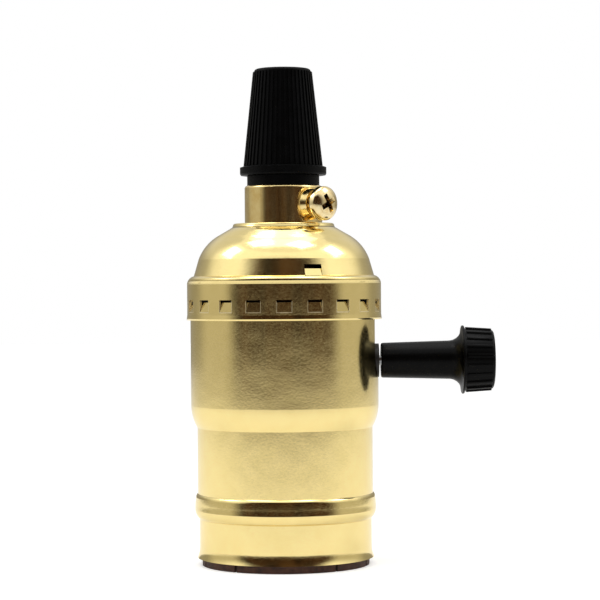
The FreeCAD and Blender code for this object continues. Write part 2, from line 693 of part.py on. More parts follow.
def set_screw():
    body = new_body("set_screw")
    inner_end = "grip_thread_r + 2 * running_fit"
    face = "(clamp_head_at + clamp_head)"
    corners = [
        (inner_end, "0"),
        (face, "0", "clamp_round", 1),
        (f"{face} - clamp_head / 2", "clamp_head_r"),
        ("clamp_head_at", "clamp_head_r"),
        ("clamp_head_at", "clamp_r"),
        (f"{inner_end} + clamp_r / 3", "clamp_r"),
        (inner_end, "clamp_r * 2 / 3"),
    ]
    place = {"rise": "clamp_z", "turn": "clamp_turn - 90"}
    revolve(body, "screw_form", draw(body, "screw_section", "XZ_Plane", [corners], **place), "H_Axis")
    arm = "recess_width / 2"
    end = "recess_span / 2"
    cross = [
        (arm, arm), (arm, end), (f"-{arm}", end), (f"-{arm}", arm),
        (f"-{end}", arm), (f"-{end}", f"-{arm}"), (f"-{arm}", f"-{arm}"), (f"-{arm}", f"-{end}"),
        (arm, f"-{end}"), (arm, f"-{arm}"), (end, f"-{arm}"), (end, arm),
    ]
    mark = draw(body, "cross", "XZ_Plane", [cross], rise="clamp_z", lift=face, turn="clamp_turn")
    pocket(body, "cross_recess", mark, "recess_depth", back=True)
    return body


def cord_grip_stem():
    body = new_body("cord_grip_stem")
    corners = [
        ("cable_r", "grip_start"),
        ("grip_thread_r - grip_chamfer", "grip_start"),
        ("grip_thread_r", "grip_start + grip_chamfer"),
        ("grip_thread_r", "neck_end"),
        ("collar_r", "neck_end"),
        ("collar_r", "collar_end"),
        ("grip_screw_r", "collar_end"),
        ("grip_screw_r", "grip_screw_end"),
        ("jaw_r", "grip_screw_end + grip_chamfer"),
        ("jaw_r", "jaw_taper_z"),
        ("jaw_tip_r", "jaw_end"),
        ("cable_r", "jaw_end"),
    ]
    revolve(body, "stem_form", draw(body, "stem_section", "XZ_Plane", [corners]))
    slot = rectangle("-jaw_slot / 2", "grip_screw_end", "jaw_slot / 2", "jaw_end + past")
    cut = pocket(body, "jaw_slot", draw(body, "jaw_slot_outline", "XZ_Plane", [slot]))
    around(body, "jaw_slots", [cut], "jaw_slot_count")
    return body


def cord_grip_nut():
    body = new_body("cord_grip_nut")
    foot = "nut_start + nut_flange"
    corners = [
        ("grip_screw_r + running_fit", "nut_start"),
        ("nut_flange_r - nut_edge / 2", "nut_start"),
        ("nut_flange_r", "nut_start + nut_edge"),
        ("nut_flange_r", f"{foot} - nut_edge"),
        ("nut_foot_r", foot),
        ("nut_head_r", "nut_end - nut_round", "nut_round", -1),
        ("nut_head_r - nut_round", "nut_end"),
        ("cable_r", "nut_end"),
        ("cable_r", "jaw_end + 2 * nut_step"),
        ("jaw_tip_r + nut_seat_gap", "jaw_end + nut_step"),
        ("jaw_r + nut_seat_gap", "jaw_taper_z + nut_edge"),
        ("jaw_r + nut_seat_gap", "grip_screw_end + nut_step"),
        ("grip_screw_r + running_fit", "grip_screw_end + nut_edge"),
    ]
    revolve(body, "nut_form", draw(body, "nut_section", "XZ_Plane", [corners]))
    rib = [
        ("nut_foot_r - grip_rib", foot),
        ("nut_foot_r + grip_rib", foot),
        ("nut_head_r + grip_rib", "nut_end - nut_round"),
        ("nut_head_r - grip_rib", "nut_end - nut_round"),
    ]
    strip = sector(body, "rib", draw(body, "rib_section", "XZ_Plane", [rib]), "grip_rib_angle")
    around(body, "ribs", [strip], "grip_rib_count")
    return body


# ---- key, along its own Z from the holder's axis outwards ----


def knob():
    body = new_body("knob")
    flare = "(knob_waist + knob_flare)"
    face = f"({flare} + knob_flange)"
    tip = f"({face} + knob_head)"
    corners = [
        ("0", "0"),
        ("knob_stem_r - knob_edge / 2", "0"),
        ("knob_stem_r", "knob_edge / 2"),
        ("knob_waist_r", "knob_waist", "knob_flare", 1),
        ("knob_waist_r + knob_flare", flare),
        ("knob_flange_r", face),
        ("knob_head_r", f"{face} + knob_flange"),
        ("knob_tip_r", f"{tip} - knob_edge", "knob_edge", -1),
        ("knob_tip_r - knob_edge", tip),
        ("0", f"{tip} + knob_crown"),
    ]
    revolve(body, "knob_form", draw(body, "knob_section", "XZ_Plane", [corners]))
    rib = [
        ("knob_head_r - knob_rib", f"{face} + knob_flange"),
        ("knob_head_r + knob_rib", f"{face} + knob_flange"),
        ("knob_tip_r + knob_rib", f"{tip} - knob_edge"),
        ("knob_tip_r - knob_rib", f"{tip} - knob_edge"),
    ]
    section = draw(body, "rib_section", "XZ_Plane", [rib], turn="knob_rib_turn")
    strip = sector(body, "rib", section, "knob_rib_angle")
    around(body, "ribs", [strip], "knob_rib_count")
    socket = double_flat("spindle_r", "spindle_flat")
    pocket(body, "socket", draw(body, "socket_outline", "XY_Plane", [socket]), "spindle_socket")
    along_key(body, "knob_start")
    return body


def switch_spindle():
    body = new_body("switch_spindle")
    flats = double_flat("spindle_r", "spindle_flat")
    journal = "(hub_end + clip_play)"
    journal_end = "(shell_r + key_boss_out)"
    inner = draw(body, "inner_flats", "XY_Plane", [flats], lift="-spindle_back")
    pad(body, "inner_end", inner, f"spindle_back + {journal}")
    bearing = draw(body, "journal_circle", "XY_Plane", [("0", "0", "spindle_r")], lift=journal)
    pad(body, "journal", bearing, f"{journal_end} - {journal}")
    outer = draw(body, "outer_flats", "XY_Plane", [flats], lift=journal_end)
    pad(body, "outer_end", outer, f"knob_start + spindle_socket - {journal_end}")
    ring_end = "clip_at + clip + clip_play"
    ring = rectangle("clip_groove_r", "clip_at - clip_play", "spindle_r + past", ring_end)
    groove(body, "clip_groove", draw(body, "clip_groove_section", "XZ_Plane", [ring]))
    along_key(body)
    return body


def spindle_clip():
    body = new_body("spindle_clip")
    hole = "clip_groove_r + clip_play"
    washer = draw(body, "clip_rings", "XY_Plane", [("0", "0", "clip_r"), ("0", "0", hole)], lift="clip_at")
    pad(body, "clip_washer", washer, "clip")
    mouth = rectangle(f"-({hole})", "-clip_r - past", hole, "0")
    cut = draw(body, "clip_mouth_outline", "XY_Plane", [mouth], lift="clip_at")
    pocket(body, "clip_mouth", cut, "clip")
    along_key(body)
    return body


def switch_rotor():
    body = new_body("switch_rotor")
    square = rounded("-cam_half", "-cam_half", "cam_half", "cam_half", "cam_round")
    cam = draw(body, "cam_outline", "XY_Plane", [square], lift="cam_start")
    pad(body, "cam", cam, "cam_end - cam_start")
    drum = draw(body, "drum_circle", "XY_Plane", [("0", "0", "drum_r")], lift="cam_end")
    pad(body, "drum", drum, "contact_x - blade / 2 - cam_end")
    hub = draw(body, "hub_circle", "XY_Plane", [("0", "0", "hub_r")], lift="contact_x - blade / 2")
    pad(body, "hub", hub, "hub_end - contact_x + blade / 2")
    hole = double_flat("spindle_r", "spindle_flat")
    pocket(body, "spindle_hole", draw(body, "spindle_hole_outline", "XY_Plane", [hole], lift="cam_start"))
    along_key(body)
    return body


# Bow-tie blade: two arms that reach out from a ring pressed on the rotor's hub.
def rotor_contact():
    body = new_body("rotor_contact")
    level = "contact_x - blade / 2"
    rings = draw(body, "ring", "XY_Plane", [("0", "0", "blade_hub_r"), ("0", "0", "hub_r")], lift=level)
    pad(body, "hub_ring", rings, "blade")
    near = "(hub_r / 2 + blade_hub_r / 2)"
    reach = "blade_r * cos(blade_half_angle)"
    width = "blade_r * sin(blade_half_angle)"
    root = "hub_r * sin(blade_half_angle)"
    arm = [
        (near, f"-{root}"),
        (reach, f"-{width}", "blade_r", -1),
        (reach, width),
        (near, root),
    ]
    one = pad(body, "arm", draw(body, "arm_outline", "XY_Plane", [arm], lift=level), "blade")
    around(body, "arms", [one], "2")
    along_key(body)
    return body


# Bowed leaf under the square cam.
def detent_spring():
    body = new_body("detent_spring")
    top = "(key_z - cam_half - spring_gap)"
    rise = f"({top} - floor_z)"
    outer = f"((spring_half ^ 2 + {rise} ^ 2) / (2 * {rise}))"
    leaf = [
        ("-spring_half", "floor_z", outer, 1),
        ("0", top, outer, 1),
        ("spring_half", "floor_z"),
        ("spring_half - spring_strip", "floor_z", f"{outer} - spring_strip", -1),
        ("0", f"{top} - spring_strip", f"{outer} - spring_strip", -1),
        ("-spring_half + spring_strip", "floor_z"),
    ]
    middle = "(cam_start + cam_end) / 2"
    pad(body, "leaf", draw(body, "leaf_side", "YZ_Plane", [leaf], lift=middle), "spring_width", "Symmetric")
    return body


# ---- insulating body and its fasteners ----


def switch_body():
    body = new_body("switch_body")
    section = draw(body, "body_section", "XZ_Plane", [rectangle("0", "disc_end", "body_r", "body_end")])
    revolve(body, "body_form", section)
    boss = draw(body, "key_boss_circle", "YZ_Plane", [("0", "key_z", "key_boss_r")], lift="chamber_front")
    pad(body, "key_boss", boss, "shell_r + key_boss_out - chamber_front")
    room = rounded("-chamber_back", "-chamber_half", "chamber_front", "chamber_half", "chamber_round")
    chamber = draw(body, "chamber_outline", "XY_Plane", [room], lift="body_end")
    pocket(body, "chamber", chamber, "body_end - floor_z", back=True)
    bearing = [("0", "key_z", "bore_r")]
    pocket(body, "journal_bore", draw(body, "journal_bore_circle", "YZ_Plane", bearing))
    end = draw(body, "end_bearing_circle", "YZ_Plane", bearing)
    pocket(body, "end_bearing", end, "spindle_back + clip_play", back=True)
    half = "(strap_width / 2 + strap_play)"
    channel = rectangle(f"-{half}", "strap_out - terminal - strap_play", half, "body_r + past")
    pocket(body, "strap_channel", draw(body, "strap_channel_outline", "XY_Plane", [channel]))
    long_hole = ("rivet_offset", "rivet_offset", "rivet_r + rivet_play")
    one = pocket(body, "rivet_hole", draw(body, "rivet_hole_circle", "XY_Plane", [long_hole]))
    sunk = ("0", "eyelet_at", "eyelet_head_r + recess_play")
    recess = draw(body, "eyelet_recess_circle", "XY_Plane", [sunk], lift="disc_end")
    two = pocket(body, "eyelet_recess", recess, "rivet_head + recess_play")
    around(body, "holes", [one, two], "2")
    room = "terminal_screw_r + recess_play"
    both = [("0", "terminal_y", room), ("live_x", "-terminal_y", room)]
    ends = draw(body, "screw_hole_circles", "XY_Plane", both, lift="body_end")
    pocket(body, "screw_holes", ends, "terminal_screw + recess_play", back=True)
    under_rivet = ("contact_x", "0", "centre_rivet_r + rivet_play")
    middle = draw(body, "centre_hole_circle", "XY_Plane", [under_rivet], lift="disc_end")
    pocket(body, "centre_hole", middle, "floor_z - disc_end")
    return body


def switch_cover():
    body = new_body("switch_cover")
    slab = rectangle("-chamber_back - cover_lap", "-cover_half", "chamber_front + cover_lap", "cover_half")
    pad(body, "slab", draw(body, "slab_outline", "XY_Plane", [slab], lift="body_end"), "cover")
    ear = ("rivet_offset", "rivet_offset", "ear_r")
    one = pad(body, "ear", draw(body, "ear_circle", "XY_Plane", [ear], lift="body_end"), "cover")
    neck = rectangle("rivet_offset - ear_r", "0", "rivet_offset", "rivet_offset")
    web = pad(body, "ear_web", draw(body, "ear_web_outline", "XY_Plane", [neck], lift="body_end"), "cover")
    around(body, "ears", [one, web], "2")
    hole = ("rivet_offset", "rivet_offset", "rivet_r + rivet_play")
    two = pocket(body, "rivet_hole", draw(body, "rivet_hole_circle", "XY_Plane", [hole]))
    around(body, "rivet_holes", [two], "2")
    half = "(contact_width / 2 + recess_play)"
    inner = "-finger + recess_play"
    notch = rectangle(f"contact_x - {half}", "-cover_half - past", f"contact_x + {half}", inner)
    pocket(body, "contact_notch", draw(body, "contact_notch_outline", "XY_Plane", [notch]))
    return body


def base_disc():
    body = new_body("base_disc")
    plate = draw(body, "disc_circle", "XY_Plane", [("0", "0", "body_r")], lift="disc_start")
    pad(body, "plate", plate, "disc")
    long_hole = ("rivet_offset", "rivet_offset", "rivet_r + rivet_play")
    one = pocket(body, "rivet_hole", draw(body, "rivet_hole_circle", "XY_Plane", [long_hole]))
    sunk = ("rivet_offset", "rivet_offset", "rivet_head_r + recess_play")
    recess = draw(body, "rivet_recess_circle", "XY_Plane", [sunk], lift="disc_start")
    two = pocket(body, "rivet_recess", recess, "rivet_head + recess_play")
    short_hole = ("0", "eyelet_at", "eyelet_r + rivet_play")
    three = pocket(body, "eyelet_hole", draw(body, "eyelet_hole_circle", "XY_Plane", [short_hole]))
    around(body, "holes", [one, two, three], "2")
    half = "(strap_width / 2 + strap_play)"
    leg = rectangle(f"-{half}", "strap_out - terminal - strap_play", half, "body_r + past")
    pocket(body, "strap_notch", draw(body, "strap_notch_outline", "XY_Plane", [leg]))
    foot = rectangle(f"-{half}", "eyelet_at - strap_foot - strap_play", half, "body_r + past")
    under = draw(body, "foot_recess_outline", "XY_Plane", [foot], lift="disc_start")
    pocket(body, "foot_recess", under, "terminal")
    middle = ("contact_x", "0", "centre_rivet_r + rivet_play")
    pocket(body, "centre_hole", draw(body, "centre_hole_circle", "XY_Plane", [middle]))
    return body


# A rivet about the sketch's vertical axis, with a domed head at each end.
def rivet_outline(low, high, radius, head_r, head):
    crown = f"(({head_r} ^ 2 + {head} ^ 2) / (2 * {head}))"
    return [
        ("0", f"{low} - {head}", crown, -1),
        (head_r, low),
        (radius, low),
        (radius, high),
        (head_r, high, crown, -1),
        ("0", f"{high} + {head}"),
    ]


def body_rivets():
    body = new_body("body_rivets")
    body.AllowCompound = True
    low = "disc_start + rivet_head + recess_play"
    section = rivet_outline(low, "cover_end", "rivet_r", "rivet_head_r", "rivet_head")
    place = {"slide": "rivet_offset", "lift": "-rivet_offset"}
    one = revolve(body, "rivet", draw(body, "rivet_section", "XZ_Plane", [section], **place))
    around(body, "pair", [one], "2")
    return body


def screw_shell_rivets():
    body = new_body("screw_shell_rivets")
    body.AllowCompound = True
    low = "disc_start - screw_wall"
    section = rivet_outline(low, "disc_end", "eyelet_r", "eyelet_head_r", "rivet_head")
    one = revolve(body, "rivet", draw(body, "rivet_section", "YZ_Plane", [section], slide="eyelet_at"))
    around(body, "pair", [one], "2")
    return body


def centre_rivet():
    body = new_body("centre_rivet")
    low = "disc_start - leaf"
    high = "floor_z + contact_strip"
    section = rivet_outline(low, high, "centre_rivet_r", "centre_head_r", "rivet_head")
    revolve(body, "rivet", draw(body, "rivet_section", "XZ_Plane", [section], slide="contact_x"))
    return body


# ---- lamp contacts ----


# Section of the rolled thread for a groove or a ridge: an arc over each crest, tangent to an arc
# in each hollow.  spare is the sheet's thickness on the outer face and 0 on the inner one.
def thread_outline(spare):
    depth = "(thread_major_r - thread_minor_r + thread_land)"
    rounds = f"((thread_pitch ^ 2 / 4 + {depth} ^ 2) / (2 * {depth}))"
    crest = f"({rounds} / 2 + {spare})"
    hollow = f"({rounds} / 2 - {spare})"
    crest_at = f"(thread_major_r + {spare} - {crest})"
    hollow_at = f"(thread_minor_r - thread_land + {spare} + {hollow})"
    share = f"({crest} / {rounds})"
    meet = f"({crest_at} + {share} * ({hollow_at} - {crest_at}))"
    meet_up = f"({share} * thread_pitch / 2)"
    edge = "(thread_pitch / 2 - thread_lap)"
    bottom = f"({hollow_at} - sqrt({hollow} ^ 2 - thread_lap ^ 2))"
    inside = "(thread_minor_r - screw_wall)"
    return [
        (inside, f"thread_start - {edge}"),
        (bottom, f"thread_start - {edge}", hollow, 1),
        (meet, f"thread_start - {meet_up}", crest, -1),
        (meet, f"thread_start + {meet_up}", hollow, 1),
        (bottom, f"thread_start + {edge}"),
        (inside, f"thread_start + {edge}"),
    ]


# Rolled screw shell: a plain mouth, then the E27 thread formed in thin sheet, closed above by a
# flange that is riveted to the disc.
def screw_shell():
    body = new_body("screw_shell")
    mouth_end = "(screw_start + mouth_length)"
    solid = [
        ("0", "screw_start"),
        ("mouth_r + screw_wall", "screw_start"),
        ("mouth_r + screw_wall", mouth_end),
        ("thread_minor_r + screw_wall", f"{mouth_end} + screw_wall"),
        ("thread_minor_r + screw_wall", "disc_start"),
        ("0", "disc_start"),
    ]
    revolve(body, "blank", draw(body, "blank_section", "XZ_Plane", [solid]))
    travel = "thread_end - thread_start"
    ridge = draw(body, "ridge_section", "XZ_Plane", [thread_outline("screw_wall")])
    helix(body, "AdditiveHelix", "ridge", ridge, travel)
    hollow = [
        ("0", "0"),
        ("mouth_r", "0"),
        ("mouth_r", f"{mouth_end} - screw_wall"),
        ("thread_minor_r", f"{mouth_end} - screw_wall"),
        ("thread_minor_r", "disc_start - screw_wall"),
        ("screw_hole_r", "disc_start - screw_wall"),
        ("screw_hole_r", "disc_start + past"),
        ("0", "disc_start + past"),
    ]
    groove(body, "bore", draw(body, "bore_section", "XZ_Plane", [hollow]))
    cut = draw(body, "groove_section", "XZ_Plane", [thread_outline("0")])
    helix(body, "SubtractiveHelix", "groove", cut, f"{travel} - thread_stop * thread_pitch")
    hole = ("0", "eyelet_at", "eyelet_r + rivet_play")
    one = pocket(body, "eyelet_hole", draw(body, "eyelet_hole_circle", "XY_Plane", [hole]))
    around(body, "eyelet_holes", [one], "2")
    return body


def centre_contact():
    body = new_body("centre_contact")
    high = "disc_start"
    low = "disc_start - leaf"
    nose = "leaf_nose_z"
    side = [
        ("contact_x + leaf_back", low),
        ("contact_x + leaf_back", high),
        ("leaf_bend", high),
        ("leaf_nose_half", f"{nose} + leaf", "leaf_nose_round", 1),
        ("-leaf_nose_half", f"{nose} + leaf"),
        ("-leaf_tip", f"{nose} + leaf + leaf_tip_rise"),
        ("-leaf_tip", f"{nose} + leaf_tip_rise"),
        ("-leaf_nose_half", nose, "leaf_nose_round", -1),
        ("leaf_nose_half", nose),
        ("leaf_bend + leaf / 2", low),
    ]
    pad(body, "leaf", draw(body, "leaf_side", "XZ_Plane", [side]), "leaf_width", "Symmetric")
    hole = ("contact_x", "0", "centre_rivet_r + rivet_play")
    pocket(body, "rivet_hole", draw(body, "rivet_hole_circle", "XY_Plane", [hole]))
    return body


def switched_contact():
    body = new_body("switched_contact")
    top = "(key_z + contact_width)"
    side = [
        ("-centre_head_r - contact_strip", "floor_z"),
        ("chamber_half", "floor_z"),
        ("chamber_half", top),
        ("finger", top),
        ("finger", "floor_z + contact_strip"),
        ("-centre_head_r - contact_strip", "floor_z + contact_strip"),
    ]
    strip = draw(body, "strip_side", "YZ_Plane", [side], lift="contact_x")
    pad(body, "strip", strip, "contact_width", "Symmetric")
    hole = ("contact_x", "0", "centre_rivet_r + rivet_play")
    pocket(body, "rivet_hole", draw(body, "rivet_hole_circle", "XY_Plane", [hole]))
    return body


def live_terminal():
    body = new_body("live_terminal")
    inner_edge = "plate_in - terminal_y"
    side = [
        (inner_edge, "body_end"),
        ("-chamber_half", "body_end"),
        ("-chamber_half", "key_z - contact_width"),
        ("-finger", "key_z - contact_width"),
        ("-finger", "plate_end"),
        (inner_edge, "plate_end"),
    ]
    finger_side = draw(body, "finger_side", "YZ_Plane", [side], lift="contact_x")
    pad(body, "finger", finger_side, "contact_width", "Symmetric")
    outer_edge = "-terminal_y - plate_out"
    plate = rectangle("live_x - plate_half", outer_edge, "contact_x + contact_width / 2", inner_edge)
    pad(body, "plate", draw(body, "plate_outline", "XY_Plane", [plate], lift="body_end"), "terminal")
    hole = ("live_x", "-terminal_y", "terminal_screw_r + rivet_play")
    pocket(body, "screw_hole", draw(body, "screw_hole_circle", "XY_Plane", [hole]))
    return body


# Folded from one strip: terminal plate above, leg down the side, foot under the disc.
def neutral_strap():
    body = new_body("neutral_strap")
    inner_edge = "terminal_y - plate_in"
    foot_end = "eyelet_at - strap_foot"
    side = [
        (inner_edge, "plate_end"),
        ("strap_out", "plate_end"),
        ("strap_out", "disc_start"),
        (foot_end, "disc_start"),
        (foot_end, "disc_start + terminal"),
        ("strap_out - terminal", "disc_start + terminal"),
        ("strap_out - terminal", "body_end"),
        (inner_edge, "body_end"),
    ]
    pad(body, "strip", draw(body, "strip_side", "YZ_Plane", [side]), "strap_width", "Symmetric")
    plate = rectangle("-plate_half", inner_edge, "plate_half", "terminal_y + plate_out")
    pad(body, "plate", draw(body, "plate_outline", "XY_Plane", [plate], lift="body_end"), "terminal")
    around_screw = ("0", "terminal_y", "terminal_screw_r + rivet_play")
    hole = draw(body, "screw_hole_circle", "XY_Plane", [around_screw], lift="plate_end")
    pocket(body, "screw_hole", hole, "terminal + past", back=True)
    around_rivet = ("0", "eyelet_at", "eyelet_r + rivet_play")
    foot = draw(body, "eyelet_hole_circle", "XY_Plane", [around_rivet], lift="disc_start")
    pocket(body, "eyelet_hole", foot, "terminal")
    return body


# A slotted binding-head screw through a terminal plate.
def terminal_screw(label, across, along):
    body = new_body(label)
    top = "terminal_head"
    section = [
        ("0", "-terminal - terminal_screw"),
        ("terminal_screw_r - screw_chamfer", "-terminal - terminal_screw"),
        ("terminal_screw_r", "screw_chamfer - terminal - terminal_screw"),
        ("terminal_screw_r", "0"),
        ("terminal_head_r", "0"),
        ("terminal_head_r", f"{top} - terminal_round", "terminal_round", -1),
        ("terminal_head_r - terminal_round", top),
        ("0", top),
    ]
    revolve(body, "screw_form", draw(body, "screw_section", "XZ_Plane", [section]))
    across_head = "(terminal_head_r + past)"
    slot = rectangle(f"-{across_head}", "-driver_slot / 2", across_head, "driver_slot / 2")
    slot_sketch = draw(body, "slot_outline", "XY_Plane", [slot], lift=top)
    pocket(body, "slot", slot_sketch, "driver_depth", back=True)
    body.Placement = Placement(Vector(amount(across), amount(along), amount("plate_end")), Rotation())
    if across != "0":
        body.setExpression("Placement.Base.x", bound(across))
    body.setExpression("Placement.Base.y", bound(along))
    body.setExpression("Placement.Base.z", bound("plate_end"))
    return body


def terminal_screw_neutral():
    return terminal_screw("terminal_screw_neutral", "0", "terminal_y")


def terminal_screw_live():
    return terminal_screw("terminal_screw_live", "live_x", "-terminal_y")


COVERS = [shell, shell_liner, cap]
GRIP = [neck_bushing, set_screw, cord_grip_stem, cord_grip_nut]
KEY = [knob, switch_spindle, spindle_clip, switch_rotor, rotor_contact, detent_spring]
INSIDE = [switch_body, switch_cover, base_disc, body_rivets, screw_shell_rivets, centre_rivet]
LAMP_CONTACTS = [screw_shell, centre_contact, switched_contact, live_terminal, neutral_strap]
SCREWS = [terminal_screw_neutral, terminal_screw_live]
PARTS = [make() for make in COVERS + GRIP + KEY + INSIDE + LAMP_CONTACTS + SCREWS]


def check_and_write(bodies):
    document.recompute()
    for item in document.Objects:
        if "Invalid" in item.State or "Error" in item.State:
            raise RuntimeError(f"{item.Label} did not build: {item.State}")
    os.makedirs("parts", exist_ok=True)
    for body in bodies:
        shape = body.Shape
        if shape.isNull() or not shape.isValid():
            raise RuntimeError(f"{body.Label} has no valid shape")
    for body in bodies:
        body.Shape.exportStep(f"parts/{body.Label}.step")
        print(f"{body.Label}: {len(body.Shape.Solids)} solid, {body.Shape.Volume:.1f} mm3")


check_and_write(PARTS)
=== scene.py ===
import bpy
from math import atan2, cos, degrees, pi, radians, sin
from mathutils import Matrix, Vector


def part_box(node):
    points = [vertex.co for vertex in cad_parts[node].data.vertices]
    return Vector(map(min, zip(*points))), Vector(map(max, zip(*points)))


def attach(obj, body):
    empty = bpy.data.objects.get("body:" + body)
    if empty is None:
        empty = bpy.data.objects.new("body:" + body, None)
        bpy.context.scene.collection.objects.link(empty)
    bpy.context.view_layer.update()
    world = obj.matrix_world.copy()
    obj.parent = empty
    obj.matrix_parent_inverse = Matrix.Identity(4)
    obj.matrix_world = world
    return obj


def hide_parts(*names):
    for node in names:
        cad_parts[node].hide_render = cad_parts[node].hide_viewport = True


# Lamp holder with a turn key, in metres, standing mouth down with its knob along +X.

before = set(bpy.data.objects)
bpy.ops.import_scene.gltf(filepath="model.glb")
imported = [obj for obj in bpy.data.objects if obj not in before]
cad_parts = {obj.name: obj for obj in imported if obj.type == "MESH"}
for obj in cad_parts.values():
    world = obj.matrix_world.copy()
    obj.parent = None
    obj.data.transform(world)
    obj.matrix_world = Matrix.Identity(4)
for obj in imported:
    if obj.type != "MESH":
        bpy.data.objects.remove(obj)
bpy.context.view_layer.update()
mm = 0.001


# a written sRGB colour such as "#C9B568" as the linear RGBA that the shader takes
def hexColour(code):
    channels = [int(code[i:i + 2], 16) / 255 for i in (1, 3, 5)]
    return [c / 12.92 if c <= 0.04045 else ((c + 0.055) / 1.055) ** 2.4 for c in channels] + [1.0]


# adds a node with its settings, by property or by socket, and its links; a node given as a
# source stands for its first output, and a Mix node's colours are its sockets 6 and 7
def addNode(tree, kind, settings={}, links={}):
    node = tree.nodes.new(kind)
    for name, value in settings.items():
        if isinstance(name, str) and hasattr(node, name):
            setattr(node, name, value)
        else:
            node.inputs[name].default_value = value
    for name, source in links.items():
        output = source.outputs[0] if isinstance(source, bpy.types.Node) else source
        tree.links.new(output, node.inputs[name])
    return node


def newMaterial(name):
    material = bpy.data.materials.new(name)
    material.use_nodes = True
    material.node_tree.nodes.clear()
    return material, material.node_tree


def applyPlace():
    bpy.ops.object.transform_apply(location=True, rotation=True, scale=True)


# a long lens at the height of the shell's upper part; angles in degrees
view = {
    "distance": 421 * mm,
    "height": 52.9 * mm,
    "lens": 133,
    "sensor": 36,
    "pitch": -0.388,
    "roll": 0.43,
    "yaw": -0.413,
}

cameraData = bpy.data.cameras.new("studioCamera")
cameraData.lens = view["lens"]
cameraData.sensor_width = view["sensor"]
cameraData.clip_start = 10 * mm
camera = bpy.data.objects.new("studioCamera", cameraData)
camera.location = (0, -view["distance"], view["height"])
camera.rotation_euler = (radians(90 + view["pitch"]), radians(view["roll"]), radians(view["yaw"]))
bpy.context.scene.collection.objects.link(camera)
bpy.context.scene.camera = camera
bpy.context.scene.view_settings.view_transform = "Standard"
print("camera placed")

# a white world, dimmer as light than it is to the eye and in mirrors
worldLight = 0.42

world = bpy.data.worlds.new("whiteRoom")
bpy.context.scene.world = world
world.use_nodes = True
tree = world.node_tree
tree.nodes.clear()
path = addNode(tree, "ShaderNodeLightPath")
seen = addNode(tree, "ShaderNodeMath", {"operation": "MAXIMUM"},
               {0: path.outputs["Is Camera Ray"], 1: path.outputs["Is Glossy Ray"]})
seen = addNode(tree, "ShaderNodeMath", {"operation": "MAXIMUM"},
               {0: seen, 1: path.outputs["Is Transmission Ray"]})
level = addNode(tree, "ShaderNodeMapRange", {"To Min": worldLight, "To Max": 1.0}, {"Value": seen})
sky = addNode(tree, "ShaderNodeBackground", {"Color": hexColour("#FFFFFF")}, {"Strength": level})
addNode(tree, "ShaderNodeOutputWorld", {}, {"Surface": sky})

# white paper on the table; what bright metal mirrors of it fades out some way in front
floorLook = {
    "front": -1.1,          # the sheet's edges, metres
    "back": 1.6,
    "half": 1.3,
    "light": "#FBFAF9",
    "dark": "#F4F3F1",
    "cloudScale": 60.0,     # clouds about 17 mm apart
    "glow": 0.5,            # what the camera sees of it, above its lit paper
    "farGlow": 0.2,         # what is added to that far away, where little light falls
    "mirrorGlow": 0.22,     # what a mirror sees of it, above its lit paper
    "fadeFrom": (0, 0.25, 0),
    "fade": [(0.30, 0.0), (0.56, 0.16), (0.80, 0.40), (1.00, 0.65), (1.30, 0.96)],  # metres, share
    "fadeReach": 1.4,
    "beyond": "#443020",
}

bpy.ops.object.select_all(action="DESELECT")
bpy.ops.mesh.primitive_plane_add(size=1)
floor = bpy.context.object
floor.name = "floor"
floor.scale = (2 * floorLook["half"], floorLook["back"] - floorLook["front"], 1)
floor.location = (0, (floorLook["back"] + floorLook["front"]) / 2, 0)
applyPlace()
material, tree = newMaterial("white paper sweep")
path = addNode(tree, "ShaderNodeLightPath")
coords = addNode(tree, "ShaderNodeTexCoord")
clouds = addNode(tree, "ShaderNodeTexNoise", {"Scale": floorLook["cloudScale"], "Detail": 3.0},
                 {"Vector": coords.outputs["Object"]})
tone = addNode(tree, "ShaderNodeValToRGB", {}, {"Fac": clouds})
tone.color_ramp.elements[0].color = hexColour(floorLook["dark"])
tone.color_ramp.elements[1].color = hexColour(floorLook["light"])
spot = addNode(tree, "ShaderNodeVectorMath", {"operation": "DISTANCE", 1: floorLook["fadeFrom"]},
               {0: coords.outputs["Object"]})
reach = addNode(tree, "ShaderNodeMath", {"operation": "DIVIDE", 1: floorLook["fadeReach"]},
                {0: spot.outputs["Value"]})
fade = addNode(tree, "ShaderNodeValToRGB", {}, {"Fac": reach})
while len(fade.color_ramp.elements) < len(floorLook["fade"]):
    fade.color_ramp.elements.new(1.0)
for stop, (distance, share) in zip(fade.color_ramp.elements, floorLook["fade"]):
    stop.position = distance / floorLook["fadeReach"]
    stop.color = (share, share, share, 1)
ownGlow = addNode(tree, "ShaderNodeMath", {"operation": "MULTIPLY_ADD", 1: floorLook["farGlow"],
                                          2: floorLook["glow"]}, {0: fade})
cameraGlow = addNode(tree, "ShaderNodeMath", {"operation": "MULTIPLY"},
                     {0: path.outputs["Is Camera Ray"], 1: ownGlow})
glow = addNode(tree, "ShaderNodeMath", {"operation": "MULTIPLY_ADD", 1: floorLook["mirrorGlow"]},
               {0: path.outputs["Is Glossy Ray"], 2: cameraGlow})
paper = addNode(tree, "ShaderNodeBsdfPrincipled", {"Roughness": 0.9, "Specular IOR Level": 0.2,
                                                  "Emission Color": hexColour("#FFFFFF")},
                {"Base Color": tone, "Emission Strength": glow})
unlit = addNode(tree, "ShaderNodeMath", {"operation": "MULTIPLY"},
                {0: fade, 1: path.outputs["Is Glossy Ray"]})
dim = addNode(tree, "ShaderNodeEmission", {"Color": hexColour(floorLook["beyond"])})
ground = addNode(tree, "ShaderNodeMixShader", {}, {0: unlit, 1: paper, 2: dim})
